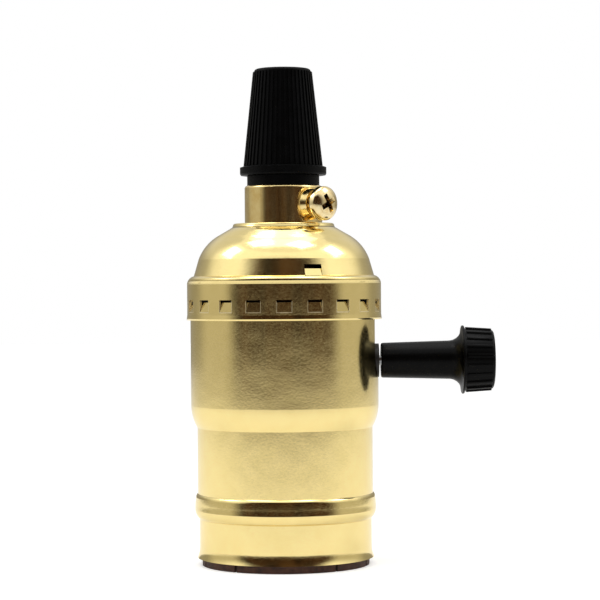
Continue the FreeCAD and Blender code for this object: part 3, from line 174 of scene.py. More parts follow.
# seen from below the sheet is clear, so that the mouth can be looked into
under = addNode(tree, "ShaderNodeNewGeometry")
clear = addNode(tree, "ShaderNodeBsdfTransparent")
ground = addNode(tree, "ShaderNodeMixShader", {},
                 {0: under.outputs["Backfacing"], 1: ground, 2: clear})
addNode(tree, "ShaderNodeOutputMaterial", {}, {"Surface": ground})
floor.data.materials.append(material)

# a wide soft box overhead and four small ones round the crown; sizes and places in metres, and
# glow is how bright each looks in a mirror
lamps = {
    "aim": (0, 0, 0.05),
    "overheadPlace": (0, 0.05, 0.85),
    "overheadSize": 0.6,
    "overheadGlow": 1.15,
    "centre": (0, 0, 0.06),
    "distance": 0.6,
    "size": 0.2,
    "glow": 3.0,
    "directions": {
        "leftLamp": (-0.75, 0.06, 0.66),
        "upperLeftLamp": (-0.31, 0.01, 0.95),
        "upperRightLamp": (0.26, -0.14, 0.96),
        "rightLamp": (0.74, 0.02, 0.68),
    },
}


def softBox(name, place, size, glow):
    lamp = bpy.data.lights.new(name, "AREA")
    lamp.size = size
    lamp.energy = glow * pi * size ** 2
    box = bpy.data.objects.new(name, lamp)
    box.location = place
    box.rotation_euler = (Vector(lamps["aim"]) - Vector(place)).to_track_quat("-Z", "Y").to_euler()
    bpy.context.scene.collection.objects.link(box)


softBox("overheadBox", lamps["overheadPlace"], lamps["overheadSize"], lamps["overheadGlow"])
for name, direction in lamps["directions"].items():
    place = Vector(direction).normalized() * lamps["distance"] + Vector(lamps["centre"])
    softBox(name, place, lamps["size"], lamps["glow"])

# the room round the table, seen only in mirrors: dark behind the camera, grey at the sides,
# white overhead; heights in metres, turns in degrees from the front
roomLook = {
    "radius": 1.0,
    "height": 1.5,
    "below": 0.1,
    "sides": 96,
    "darkest": "#1A110B",
    "dark": "#443020",
    "side": "#C1BDB2",
    "above": "#FFFFFF",
    "darkHalfTurn": 65,           # half the width of an oval dark patch, and its height
    "darkHeight": 0.99,
    "darkEdge": (0.82, 1.18),     # its soft edge, as shares of its size
    "gloomScale": 3.5,            # dim things in it, taller than wide
    "gloomStretch": 0.25,
    "gloomSpread": (0.35, 0.65),
    "sideFade": (0.13, 0.53),     # heights between which the sides turn white
    "topFade": (0.96, 1.25),      # and between which the front does
    "glow": 1.2,
    "glowFade": (0.3, 0.6),
    "behindGlow": 0.6,
    "behindTurn": (105, 130),
}

bpy.ops.object.select_all(action="DESELECT")
bpy.ops.mesh.primitive_cylinder_add(vertices=roomLook["sides"], radius=roomLook["radius"],
                                    depth=roomLook["height"] + roomLook["below"],
                                    end_fill_type="NOTHING",
                                    location=(0, 0, (roomLook["height"] - roomLook["below"]) / 2))
room = bpy.context.object
room.name = "room"
applyPlace()
material, tree = newMaterial("dim room")
coords = addNode(tree, "ShaderNodeTexCoord")
place = addNode(tree, "ShaderNodeSeparateXYZ", {}, {"Vector": coords.outputs["Object"]})
front = addNode(tree, "ShaderNodeMath", {"operation": "MULTIPLY", 1: -1.0},
                {0: place.outputs["Y"]})
turn = addNode(tree, "ShaderNodeMath", {"operation": "ARCTAN2"}, {0: place.outputs["X"], 1: front})
turnPart = addNode(tree, "ShaderNodeMath",
                   {"operation": "DIVIDE", 1: radians(roomLook["darkHalfTurn"])}, {0: turn})
upward = addNode(tree, "ShaderNodeMath", {"operation": "MAXIMUM", 1: 0.0},
                 {0: place.outputs["Z"]})
highPart = addNode(tree, "ShaderNodeMath", {"operation": "DIVIDE", 1: roomLook["darkHeight"]},
                   {0: upward})
oval = addNode(tree, "ShaderNodeCombineXYZ", {}, {"X": turnPart, "Y": highPart})
reach = addNode(tree, "ShaderNodeVectorMath", {"operation": "LENGTH"}, {0: oval})
beside = addNode(tree, "ShaderNodeMapRange",
                 {"interpolation_type": "SMOOTHSTEP", "From Min": roomLook["darkEdge"][0],
                  "From Max": roomLook["darkEdge"][1]}, {"Value": reach.outputs["Value"]})
low = addNode(tree, "ShaderNodeMapRange",
              {"interpolation_type": "SMOOTHSTEP", "From Min": roomLook["sideFade"][0],
               "From Max": roomLook["sideFade"][1]}, {"Value": place.outputs["Z"]})
high = addNode(tree, "ShaderNodeMapRange",
               {"interpolation_type": "SMOOTHSTEP", "From Min": roomLook["topFade"][0],
                "From Max": roomLook["topFade"][1]}, {"Value": place.outputs["Z"]})
upright = addNode(tree, "ShaderNodeMapping", {"Scale": (1, 1, roomLook["gloomStretch"])},
                  {"Vector": coords.outputs["Object"]})
things = addNode(tree, "ShaderNodeTexNoise", {"Scale": roomLook["gloomScale"], "Detail": 2.0},
                 {"Vector": upright})
things = addNode(tree, "ShaderNodeMapRange", {"From Min": roomLook["gloomSpread"][0],
                                             "From Max": roomLook["gloomSpread"][1]},
                 {"Value": things})
gloom = addNode(tree, "ShaderNodeMix", {"data_type": "RGBA", 6: hexColour(roomLook["darkest"]),
                                       7: hexColour(roomLook["dark"])}, {0: things})
side = addNode(tree, "ShaderNodeMix", {"data_type": "RGBA", 6: hexColour(roomLook["side"]),
                                      7: hexColour(roomLook["above"])}, {0: low})
wall = addNode(tree, "ShaderNodeMix", {"data_type": "RGBA"},
               {0: beside, 6: gloom.outputs[2], 7: side.outputs[2]})
wall = addNode(tree, "ShaderNodeMix", {"data_type": "RGBA", 7: hexColour(roomLook["above"])},
               {0: high, 6: wall.outputs[2]})
bright = addNode(tree, "ShaderNodeMapRange",
                 {"From Min": roomLook["glowFade"][0], "From Max": roomLook["glowFade"][1],
                  "To Min": 1.0, "To Max": roomLook["glow"]}, {"Value": place.outputs["Z"]})
away = addNode(tree, "ShaderNodeMath", {"operation": "ABSOLUTE"}, {0: turn})
behind = addNode(tree, "ShaderNodeMapRange",
                 {"interpolation_type": "SMOOTHSTEP",
                  "From Min": radians(roomLook["behindTurn"][0]),
                  "From Max": radians(roomLook["behindTurn"][1]),
                  "To Min": 1.0, "To Max": roomLook["behindGlow"]}, {"Value": away})
level = addNode(tree, "ShaderNodeMath", {"operation": "MULTIPLY"}, {0: bright, 1: behind})
dim = addNode(tree, "ShaderNodeEmission", {}, {"Color": wall.outputs[2], "Strength": level})
addNode(tree, "ShaderNodeOutputMaterial", {}, {"Surface": dim})
room.data.materials.append(material)
room.visible_camera = False
room.visible_diffuse = False
room.visible_shadow = False
room.visible_transmission = False
print("studio lit")

# where most values of a noise lie: the ends of the clouds' colours and of the grain's gloss
cloudSpread = (0.35, 0.62)
grainSpread = (0.3, 0.7)


# a surface's cloudy colour and its fine grain, which also changes the gloss; patch and grain are
# sizes and relief is the grain's height, all in millimetres, and stretch draws the grain out
def surface(name, light, dark, patch, grain, relief, gloss, stretch=(1, 1, 1), shader={}):
    material, tree = newMaterial(name)
    coords = addNode(tree, "ShaderNodeTexCoord")
    along = addNode(tree, "ShaderNodeMapping", {"Scale": stretch},
                    {"Vector": coords.outputs["Object"]})
    cloud = addNode(tree, "ShaderNodeTexNoise",
                    {"Scale": 1000 / patch, "Detail": 4.0, "Roughness": 0.6},
                    {"Vector": coords.outputs["Object"]})
    fine = addNode(tree, "ShaderNodeTexNoise",
                   {"Scale": 1000 / grain, "Detail": 3.0, "Roughness": 0.6}, {"Vector": along})
    tone = addNode(tree, "ShaderNodeValToRGB", {"name": "tone"}, {"Fac": cloud})
    for stop, position, colour in zip(tone.color_ramp.elements, cloudSpread, (dark, light)):
        stop.position = position
        stop.color = hexColour(colour)
    rough = addNode(tree, "ShaderNodeMapRange",
                    {"name": "rough", "From Min": grainSpread[0], "From Max": grainSpread[1],
                     "To Min": gloss[0], "To Max": gloss[1]}, {"Value": fine})
    bump = addNode(tree, "ShaderNodeBump", {"name": "bump", "Strength": 1.0,
                                           "Distance": relief * mm}, {"Height": fine})
    skin = addNode(tree, "ShaderNodeBsdfPrincipled", {"name": "skin", "Metallic": 1.0, **shader},
                   {"Base Color": tone, "Roughness": rough, "Normal": bump})
    addNode(tree, "ShaderNodeOutputMaterial", {}, {"Surface": skin})
    return material


# what each slot of the record is made of; the sheet pieces and the screw come further down
finishes = {
    # turned and gilt: die lines run up the neck and break its reflections into bands
    "gold_neck": surface("gilt turned neck", "#F8E0A0", "#EBCE88", 2.0, 2.4, 0.07, (0.13, 0.21),
                         (1, 1, 0.04)),
    # layers of pressed paper dyed red-brown: dry, with short fibres
    "brown_fibre": surface("vulcanised fibre", "#573424", "#3A2017", 1.5, 0.35, 0.03, (0.55, 0.7),
                           (1, 1, 0.3), {"Metallic": 0.0}),
    # glass-filled nylon from a fine sparked mould: deep black with a dry sheen
    "black_nylon": surface("black moulded nylon", "#070708", "#030303", 2.0, 0.25, 0.006,
                           (0.40, 0.52), (1, 1, 1),
                           {"Metallic": 0.0, "Specular IOR Level": 0.07}),
    # phenolic pressed in a polished mould: black, smoother, with thin lights on its edges
    "black_moulding": surface("pressed black phenolic", "#070707", "#030303", 2.5, 0.3, 0.004,
                              (0.26, 0.36), (1, 1, 1),
                              {"Metallic": 0.0, "Specular IOR Level": 0.08}),
    # stamped steel under bright zinc: cool grey with tiny spangles
    "plated_steel": surface("zinc plated steel", "#C9CBCC", "#9EA2A6", 1.2, 0.25, 0.004,
                            (0.24, 0.36)),
    # hardened strip, blued in the furnace: dark blue-grey with a drawn grain
    "spring_steel": surface("blued spring steel", "#6E747E", "#4B5059", 1.0, 0.4, 0.003,
                            (0.26, 0.38), (0.1, 1, 1)),
    # paper laminate, punched: nearly black brown with a speckle
    "phenolic": surface("punched phenolic board", "#241D18", "#130F0C", 0.8, 0.25, 0.008,
                        (0.38, 0.52), (1, 1, 1), {"Metallic": 0.0}),
    # rolled bronze strip: reddish, drawn grain along its length
    "contact_copper": surface("phosphor bronze strip", "#D99A66", "#B5713F", 1.4, 0.35, 0.003,
                              (0.22, 0.34), (1, 0.15, 1)),
    # brass headed in a press: soft, slightly tarnished
    "rivet_brass": surface("headed brass rivet", "#DDBE77", "#B08B48", 0.8, 0.3, 0.005,
                           (0.24, 0.38)),
    # thin brass rolled to the thread: rings of polish round the axis
    "screw_shell_brass": surface("thread-rolled brass", "#E2C47C", "#C49E55", 1.6, 0.3, 0.004,
                                 (0.18, 0.30), (0.1, 0.1, 1)),
    # blanked brass sheet: a soft sheen with the mill's grain
    "terminal_brass": surface("blanked brass sheet", "#DABA72", "#B38D4A", 1.2, 0.3, 0.005,
                              (0.24, 0.36), (0.15, 1, 1)),
    # cut screws under thin nickel: warm grey
    "nickel_screw": surface("nickel plated screw", "#CFCBC2", "#A9A59C", 1.0, 0.25, 0.003,
                            (0.18, 0.30)),
}

# Drawn aluminium, brightened and anodised gold: a soft-edged mirror with faint clouds, shallow
# dents and a fine grain.  Its sheared edges are bare and pale, a painted highlight line runs round
# the lower part of the windows, and painted shade darkens the hidden groove and the crease under
# the crown.  Sizes in millimetres.
goldLook = {
    "light": "#FAE49E",
    "dark": "#F6E099",
    "patch": 3.0,
    "grain": 0.45,          # coarser than the real grain, which is too fine to show
    "relief": 0.006,
    "gloss": (0.11, 0.17),
    "dentSize": 6.0,
    "dentDepth": 0.035,
    # the bare sheared edges' pale colour and gloss, also used for the painted highlight line round
    # the windows
    "bareAndHighlight": "#F8EBC8",
    "bareAndHighlightGloss": 0.42,
    "edgeFacing": 0.3,      # faces that look outwards less than this are sheared edges
    # painted shade for the hidden groove and the crease: a near-black colour, a duller gloss, and
    # how far it fades in
    "paintedShade": "#1E150C",
    "paintedShadeGloss": 0.6,
    "paintedShadeFade": 0.5,
    "creaseHalf": 0.2,
    "creaseShade": 0.8,
    "tongueLean": 0.42,     # how much further the windows' tongues lean in than flat sheet would
    "tongueFacing": 0.2,    # faces that look up more than this, so far under the ledge, are tongues
    "tongueBelow": 1.0,
}
windows = {
    "count": 20,
    "radius": 18.4,
    "width": 2.8,
    "height": 2.3,
    "middle": 2.65,         # above the skirt's lower edge
    "line": 0.10,           # half the width of the painted highlight line round them
    "lineCore": 0.04,
    "lineStrength": 0.75,
    "lineTop": 0.92,        # it ends this far above their middle
}
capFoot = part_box("cap")[0][2]
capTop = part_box("cap")[1][2]
below, above = -1.0, 1.0    # heights for a sheet that has no such place
# Each roll is a height range over which the sheet's face swells out, or below zero falls back,
# by part of a millimetre, too little to show in its outline.
sheets = {
    "cap": {
        "name": "gold anodised cap sheet",
        "foot": capFoot,
        "ledge": capFoot + 6.9 * mm,
        "hiddenFrom": above,
        # a thin band of painted shade runs round this crease under the crown
        "crease": capTop - 0.72 * mm,
        "rolls": [
            (capFoot - 0.1 * mm, capFoot + 0.32 * mm, 0.22 * mm),     # skirt's lower edge
            (capFoot + 6.75 * mm, capFoot + 7.95 * mm, 0.5 * mm),     # tight turn above the skirt
            (capTop - 3.1 * mm, capTop - 1.1 * mm, 0.68 * mm),        # dome under the crown
        ],
    },
    "shell": {
        "name": "gold anodised shell sheet",
        "foot": below,
        "ledge": below,
        # above this height the shell, seen only through the windows, gets painted shade
        "hiddenFrom": capFoot + 0.2 * mm,
        "crease": above,
        "rolls": [(9.9 * mm, 11.7 * mm, -0.09 * mm)],                 # widest place of the bead
    },
}


def goldSheet(sheet):
    material = surface(sheet["name"], goldLook["light"], goldLook["dark"], goldLook["patch"],
                       goldLook["grain"], goldLook["relief"], goldLook["gloss"])
    tree = material.node_tree
    tone, rough, bump, skin = [tree.nodes[name] for name in ("tone", "rough", "bump", "skin")]
    coords = addNode(tree, "ShaderNodeTexCoord")
    place = addNode(tree, "ShaderNodeSeparateXYZ", {}, {"Vector": coords.outputs["Object"]})
    shape = addNode(tree, "ShaderNodeNewGeometry")
    waves = addNode(tree, "ShaderNodeTexNoise",
                    {"Scale": 1000 / goldLook["dentSize"], "Detail": 1.0},
                    {"Vector": coords.outputs["Object"]})
    rolled = addNode(tree, "ShaderNodeBump",
                     {"Strength": 1.0, "Distance": goldLook["dentDepth"] * mm}, {"Height": waves})
    for low, high, rise in sheet["rolls"]:
        slope = addNode(tree, "ShaderNodeMapRange",
                        {"interpolation_type": "SMOOTHSTEP", "From Min": low, "From Max": high},
                        {"Value": place.outputs["Z"]})
        rolled = addNode(tree, "ShaderNodeBump",
                         {"Strength": 1.0, "Distance": abs(rise), "invert": rise < 0},
                         {"Height": slope, "Normal": rolled})

    # the tongues in the windows
    lean = addNode(tree, "ShaderNodeSeparateXYZ", {}, {"Vector": shape.outputs["True Normal"]})
    leaning = addNode(tree, "ShaderNodeMath",
                      {"operation": "GREATER_THAN", 1: goldLook["tongueFacing"]},
                      {0: lean.outputs["Z"]})
    tongueTop = sheet["ledge"] - goldLook["tongueBelow"] * mm
    underLedge = addNode(tree, "ShaderNodeMath", {"operation": "LESS_THAN", 1: tongueTop},
                         {0: place.outputs["Z"]})
    tongue = addNode(tree, "ShaderNodeMath", {"operation": "MULTIPLY"},
                     {0: leaning, 1: underLedge})
    curl = addNode(tree, "ShaderNodeMath", {"operation": "MULTIPLY"},
                   {0: tongue, 1: place.outputs["Z"]})
    curled = addNode(tree, "ShaderNodeBump",
                     {"Strength": 1.0, "Distance": goldLook["tongueLean"]},
                     {"Height": curl, "Normal": rolled})
    tree.links.new(curled.outputs["Normal"], bump.inputs["Normal"])

    # sheared faces turn away from the line that runs out from the axis through them
    outward = addNode(tree, "ShaderNodeVectorMath", {"operation": "MULTIPLY", 1: (1, 1, 0)},
                      {0: coords.outputs["Object"]})
    outward = addNode(tree, "ShaderNodeVectorMath", {"operation": "NORMALIZE"}, {0: outward})
    facing = addNode(tree, "ShaderNodeVectorMath", {"operation": "DOT_PRODUCT"},
                     {0: outward, 1: shape.outputs["True Normal"]})
    facing = addNode(tree, "ShaderNodeMath", {"operation": "ABSOLUTE"},
                     {0: facing.outputs["Value"]})
    edge = addNode(tree, "ShaderNodeMath", {"operation": "LESS_THAN", 1: goldLook["edgeFacing"]},
                   {0: facing})
    inSkirt = addNode(tree, "ShaderNodeMath", {"operation": "LESS_THAN", 1: sheet["ledge"]},
                      {0: place.outputs["Z"]})
    bareAndHighlight = addNode(tree, "ShaderNodeMath", {"operation": "MULTIPLY"}, {0: edge, 1: inSkirt})

    # the painted highlight line round each window, left off its top edge: how far a point is from
    # its window's edge, across and up, as if the skirt were rolled out flat
    turn = addNode(tree, "ShaderNodeMath", {"operation": "ARCTAN2"},
                   {0: place.outputs["X"], 1: place.outputs["Y"]})
    across = addNode(tree, "ShaderNodeMath", {"operation": "PINGPONG", 1: pi / windows["count"]},
                     {0: turn})
    acrossGap = addNode(tree, "ShaderNodeMath",
                        {"operation": "MULTIPLY_ADD", 1: windows["radius"] * mm,
                         2: -windows["width"] / 2 * mm}, {0: across})
    windowMiddle = sheet["foot"] + windows["middle"] * mm
    fromMiddle = addNode(tree, "ShaderNodeMath", {"operation": "SUBTRACT", 1: windowMiddle},
                         {0: place.outputs["Z"]})
    up = addNode(tree, "ShaderNodeMath", {"operation": "ABSOLUTE"}, {0: fromMiddle})
    upGap = addNode(tree, "ShaderNodeMath",
                    {"operation": "SUBTRACT", 1: windows["height"] / 2 * mm}, {0: up})
    outside = addNode(tree, "ShaderNodeMath", {"operation": "MAXIMUM"}, {0: acrossGap, 1: upGap})
    fromEdge = addNode(tree, "ShaderNodeMath", {"operation": "ABSOLUTE"}, {0: outside})
    line = addNode(tree, "ShaderNodeMapRange",
                   {"From Min": windows["line"] * mm, "From Max": windows["lineCore"] * mm,
                    "To Max": windows["lineStrength"]}, {"Value": fromEdge})
    lowerPart = addNode(tree, "ShaderNodeMath",
                        {"operation": "LESS_THAN", 1: windows["lineTop"] * mm}, {0: fromMiddle})
    line = addNode(tree, "ShaderNodeMath", {"operation": "MULTIPLY"}, {0: line, 1: lowerPart})
    # bare sheared edges and the painted highlight line take the same pale colour
    bareAndHighlight = addNode(tree, "ShaderNodeMath", {"operation": "MAXIMUM"}, {0: bareAndHighlight, 1: line})

    # painted shade in the hidden groove and in the crease
    hidden = addNode(tree, "ShaderNodeMapRange",
                     {"From Min": sheet["hiddenFrom"],
                      "From Max": sheet["hiddenFrom"] + goldLook["paintedShadeFade"] * mm},
                     {"Value": place.outputs["Z"]})
    fromCrease = addNode(tree, "ShaderNodeMath", {"operation": "SUBTRACT", 1: sheet["crease"]},
                         {0: place.outputs["Z"]})
    fromCrease = addNode(tree, "ShaderNodeMath", {"operation": "ABSOLUTE"}, {0: fromCrease})
    crease = addNode(tree, "ShaderNodeMapRange",
                     {"From Min": goldLook["creaseHalf"] * mm, "From Max": 0.0,
                      "To Max": goldLook["creaseShade"]}, {"Value": fromCrease})
    paintedShadeMask = addNode(tree, "ShaderNodeMath", {"operation": "MAXIMUM"}, {0: hidden, 1: crease})

    # the pale colour marks the bare sheared edges and paints the highlight line; the near-black one
    # paints shade in the hidden groove and the crease
    cut = addNode(tree, "ShaderNodeMix", {"data_type": "RGBA", 7: hexColour(goldLook["bareAndHighlight"])},
                  {0: bareAndHighlight, 6: tone})
    paintedShade = addNode(tree, "ShaderNodeMix", {"data_type": "RGBA", 7: hexColour(goldLook["paintedShade"])},
                   {0: paintedShadeMask, 6: cut.outputs[2]})
    tree.links.new(paintedShade.outputs[2], skin.inputs["Base Color"])
    bareAndHighlightRough = addNode(tree, "ShaderNodeMix", {"data_type": "FLOAT", 3: goldLook["bareAndHighlightGloss"]},
                   {0: bareAndHighlight, 2: rough})
    dull = addNode(tree, "ShaderNodeMix", {"data_type": "FLOAT", 3: goldLook["paintedShadeGloss"]},
                   {0: hidden, 2: bareAndHighlightRough})
    tree.links.new(dull.outputs[0], skin.inputs["Roughness"])
    return material


sheetFinishes = {node: goldSheet(sheet) for node, sheet in sheets.items()}
print("finishes made")


# a round body along Z from a list of (height, radius) in millimetres
def raiseRings(name, rings, sides):
    bpy.ops.object.select_all(action="DESELECT")
    height, radius = rings[0]
    bpy.ops.mesh.primitive_circle_add(vertices=sides, radius=radius * mm, fill_type="NGON",
                                      location=(0, 0, height * mm))
    piece = bpy.context.object
    piece.name = name
    applyPlace()
    bpy.ops.object.mode_set(mode="EDIT")
    bpy.ops.mesh.select_mode(type="FACE")
    bpy.ops.mesh.select_all(action="SELECT")
    for nextHeight, nextRadius in rings[1:]:
        rise = {"value": (0, 0, (nextHeight - height) * mm)}
        bpy.ops.mesh.extrude_region_move(TRANSFORM_OT_translate=rise)
        grow = nextRadius / radius
        bpy.ops.transform.resize(value=(grow, grow, 1))
        height, radius = nextHeight, nextRadius
    bpy.ops.mesh.select_all(action="SELECT")
    bpy.ops.mesh.normals_make_consistent(inside=False)
    bpy.ops.object.mode_set(mode="OBJECT")
    return piece


# selects the faces whose centre, in millimetres, and normal pass the test, and stays in edit mode
def pickFaces(piece, test):
    bpy.ops.object.mode_set(mode="EDIT")
    bpy.ops.mesh.select_mode(type="FACE")
    bpy.ops.mesh.select_all(action="DESELECT")
    bpy.ops.object.mode_set(mode="OBJECT")
    for face in piece.data.polygons:
        face.select = test(face.center / mm, face.normal)
    bpy.ops.object.mode_set(mode="EDIT")


downFrom = -0.9    # a face whose normal is below this in Z looks down


def facesDown(centre, normal):
    return normal.z < downFrom


def selectOnly(piece):
    bpy.ops.object.select_all(action="DESELECT")
    piece.select_set(True)
    bpy.context.view_layer.objects.active = piece


def applyAll(piece):
    selectOnly(piece)
    for modifier in list(piece.modifiers):
        bpy.ops.object.modifier_apply(modifier=modifier.name)


# turns and moves a piece modelled along Z to its place, and leaves the place in its mesh
def settle(piece, turn, place, smoothAngle):
    selectOnly(piece)
    piece.rotation_euler = turn
    piece.location = place
    applyPlace()
    bpy.ops.object.shade_smooth_by_angle(angle=radians(smoothAngle))


# turn knob, modelled along Z from its inner end; sizes in millimetres
knobShape = {
    "sides": 120,
    "perRib": 6,            # sides to each rib and its gap
    "ribSides": (2, 3),     # those that the rib takes
    "ribFrom": 16.1,
    "ribTo": 20.9,
    "ribHeight": 0.3,
    "ribSlant": 0.5,        # faces that look along the knob more than this get no rib
    "bevel": 0.09,
    "bevelSegments": 2,
    "bevelAngle": 40,
    "smoothAngle": 35,
    "endWithin": 0.01,      # faces no further than this from the inner end belong to it
    "boreRadius": 1.72,
    "boreDepth": 8.6,
    "rings": [(0.0, 3.12), (0.16, 3.28), (0.4, 3.32), (13.0, 3.65), (13.7, 3.78), (14.3, 4.1),
              (14.8, 4.55), (15.15, 5.2), (15.28, 5.75), (15.32, 6.4), (15.42, 6.5), (15.66, 6.5),
              (15.76, 6.4), (15.8, 5.98), (16.1, 5.93), (20.9, 5.62), (21.15, 5.52),
              (21.32, 5.3), (21.42, 4.9), (21.52, 3.6), (21.6, 2.0), (21.64, 0.6)],
}


def onRib(centre, normal):
    side = int((degrees(atan2(centre.y, centre.x)) % 360) / (360 / knobShape["sides"]))
    inHead = knobShape["ribFrom"] < centre.z < knobShape["ribTo"]
    inRib = side % knobShape["perRib"] in knobShape["ribSides"]
    return inHead and inRib and abs(normal.z) < knobShape["ribSlant"]


def innerEnd(centre, normal):
    return centre.z < knobShape["endWithin"] and facesDown(centre, normal)


knob = raiseRings("turnKnob", knobShape["rings"], knobShape["sides"])
pickFaces(knob, onRib)
ribRise = {"value": knobShape["ribHeight"] * mm}
bpy.ops.mesh.extrude_region_shrink_fatten(TRANSFORM_OT_shrink_fatten=ribRise)
pickFaces(knob, innerEnd)
bpy.ops.mesh.inset(thickness=(knobShape["rings"][0][1] - knobShape["boreRadius"]) * mm)
boreRise = {"value": (0, 0, knobShape["boreDepth"] * mm)}
bpy.ops.mesh.extrude_region_move(TRANSFORM_OT_translate=boreRise)
bpy.ops.object.mode_set(mode="OBJECT")
softEdges = knob.modifiers.new("softEdges", "BEVEL")
softEdges.width = knobShape["bevel"] * mm
softEdges.segments = knobShape["bevelSegments"]
softEdges.limit_method = "ANGLE"
softEdges.angle_limit = radians(knobShape["bevelAngle"])
applyAll(knob)
knobLow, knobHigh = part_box("knob")
settle(knob, (0, radians(90), 0), (knobLow[0], 0, (knobLow[2] + knobHigh[2]) / 2),
       knobShape["smoothAngle"])
knob.data.materials.append(finishes["black_moulding"])
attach(knob, "key")
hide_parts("knob")
print("knob modelled")

# clamp screw, modelled along Z from the holder's axis; sizes in millimetres, angles in degrees
screwShape = {
    "sides": 64,
    "turn": 45,             # from the front towards the knob
    "smoothAngle": 32,
    "rings": [(5.1, 1.1), (5.7, 1.44), (9.9, 1.44), (9.92, 3.05), (10.05, 3.2), (10.95, 3.2),
              (11.15, 3.12), (11.4, 2.85), (11.68, 2.35), (11.9, 1.7), (12.02, 1.0),
              (12.06, 0.35)],
    "threadRadius": 1.8,
    "threadStart": 6.0,
    "ridge": 0.25,
    "ridgeSteps": 32,
    "pitch": 0.7,
    "turns": 5,
    "crossTurn": 28,
    "armLength": 4.3,
    "armWidth": 1.15,
    "armTaper": 0.5,        # an arm's floor, as a share of its opening
    "recessDepth": 1.5,
    "cutterPast": 0.4,      # how far the cutting bars stand out of the head
    "light": "#F8E6B4",
    "tarnish": "#E9CD92",
    # painted shade in the cross recess: its colour, strength, reach from the axis, and the heights
    # where it is full and where it ends
    "paintedShade": "#4A2C14",
    "paintedShadeStrength": 0.85,
    "paintedShadeRadius": 2.25,
    "paintedShadeFull": 11.0,       # heights, as those of the rings
    "paintedShadeNone": 11.9,
    "headFrom": 10.2,
}
screwLow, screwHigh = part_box("set_screw")
screwMiddle = (0, 0, (screwLow[2] + screwHigh[2]) / 2)
screwOutward = (sin(radians(screwShape["turn"])), -cos(radians(screwShape["turn"])), 0)

# Machined, polished and lacquered brass: small sharp lights, and painted shade that darkens the
# cross recess.
finishes["brass_screw"] = surface("polished brass screw", screwShape["light"],
                                  screwShape["tarnish"], 1.0, 0.35, 0.001, (0.10, 0.18))
tree = finishes["brass_screw"].node_tree
coords = addNode(tree, "ShaderNodeTexCoord")
fromAxis = addNode(tree, "ShaderNodeVectorMath", {"operation": "SUBTRACT", 1: screwMiddle},
                   {0: coords.outputs["Object"]})
along = addNode(tree, "ShaderNodeVectorMath", {"operation": "DOT_PRODUCT", 1: screwOutward},
                {0: fromAxis})
across = addNode(tree, "ShaderNodeVectorMath", {"operation": "CROSS_PRODUCT", 1: screwOutward},
                 {0: fromAxis})
radius = addNode(tree, "ShaderNodeVectorMath", {"operation": "LENGTH"}, {0: across})
# painted shade, darker the deeper into the recess
deep = addNode(tree, "ShaderNodeMapRange",
               {"From Min": screwShape["paintedShadeNone"] * mm, "From Max": screwShape["paintedShadeFull"] * mm,
                "To Max": screwShape["paintedShadeStrength"]}, {"Value": along.outputs["Value"]})
within = addNode(tree, "ShaderNodeMath",
                 {"operation": "LESS_THAN", 1: screwShape["paintedShadeRadius"] * mm},
                 {0: radius.outputs["Value"]})
inHead = addNode(tree, "ShaderNodeMath",
                 {"operation": "GREATER_THAN", 1: screwShape["headFrom"] * mm},
                 {0: along.outputs["Value"]})
recess = addNode(tree, "ShaderNodeMath", {"operation": "MULTIPLY"}, {0: within, 1: inHead})
recess = addNode(tree, "ShaderNodeMath", {"operation": "MULTIPLY"}, {0: recess, 1: deep})
dark = addNode(tree, "ShaderNodeMix", {"data_type": "RGBA", 7: hexColour(screwShape["paintedShade"])},
               {0: recess, 6: tree.nodes["tone"]})
tree.links.new(dark.outputs[2], tree.nodes["skin"].inputs["Base Color"])

clampScrew = raiseRings("clampScrew", screwShape["rings"], screwShape["sides"])

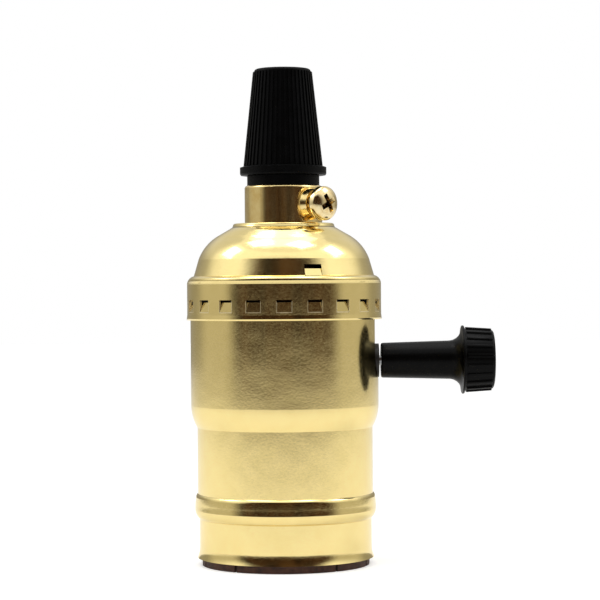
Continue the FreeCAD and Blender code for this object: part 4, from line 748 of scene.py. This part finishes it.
# the thread is a small triangle wound up the shank and closed at both ends
bpy.ops.object.select_all(action="DESELECT")
ridgeAt = (screwShape["threadRadius"] - screwShape["ridge"]) * mm
bpy.ops.mesh.primitive_circle_add(vertices=3, radius=screwShape["ridge"] * mm, fill_type="NOTHING",
                                  location=(ridgeAt, 0, screwShape["threadStart"] * mm),
                                  rotation=(radians(90), radians(90), 0))
ridge = bpy.context.object
applyPlace()
wind = ridge.modifiers.new("wind", "SCREW")
wind.screw_offset = screwShape["pitch"] * mm
wind.iterations = screwShape["turns"]
wind.steps = screwShape["ridgeSteps"]
wind.render_steps = screwShape["ridgeSteps"]
applyAll(ridge)
bpy.ops.object.mode_set(mode="EDIT")
bpy.ops.mesh.select_all(action="SELECT")
bpy.ops.mesh.fill_holes(sides=4)
bpy.ops.mesh.select_all(action="SELECT")
bpy.ops.mesh.normals_make_consistent(inside=False)
bpy.ops.object.mode_set(mode="OBJECT")

# each arm of the cross is a bar that narrows towards its floor
crownHeight = screwShape["rings"][-1][0]
cutterHeight = screwShape["recessDepth"] + screwShape["cutterPast"]
cutterMiddle = crownHeight - screwShape["recessDepth"] + cutterHeight / 2
for armTurn in (0, 90):
    bpy.ops.object.select_all(action="DESELECT")
    bpy.ops.mesh.primitive_cube_add(size=1, location=(0, 0, cutterMiddle * mm),
                                    rotation=(0, 0, radians(screwShape["crossTurn"] + armTurn)))
    arm = bpy.context.object
    arm.scale = (screwShape["armLength"] * mm, screwShape["armWidth"] * mm, cutterHeight * mm)
    applyPlace()
    pickFaces(arm, facesDown)
    bpy.ops.transform.resize(value=(screwShape["armTaper"], screwShape["armTaper"], 1))
    bpy.ops.object.mode_set(mode="OBJECT")
    cut = clampScrew.modifiers.new("recess", "BOOLEAN")
    cut.operation = "DIFFERENCE"
    cut.solver = "EXACT"
    cut.object = arm
    applyAll(clampScrew)
    bpy.data.objects.remove(arm, do_unlink=True)
selectOnly(clampScrew)
ridge.select_set(True)
bpy.ops.object.join()
settle(clampScrew, (radians(90), 0, radians(screwShape["turn"])), screwMiddle,
       screwShape["smoothAngle"])
clampScrew.data.materials.append(finishes["brass_screw"])
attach(clampScrew, "clamp_screw")
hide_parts("set_screw")
print("clamp screw modelled")

# the solid parts keep their meshes and get the finish of their slot
for name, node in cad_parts.items():
    slotName = node.data.materials[0].name
    for slot in node.material_slots:
        slot.material = sheetFinishes[name] if slotName == "gold_sheet" else finishes[slotName]
print("finishes applied")
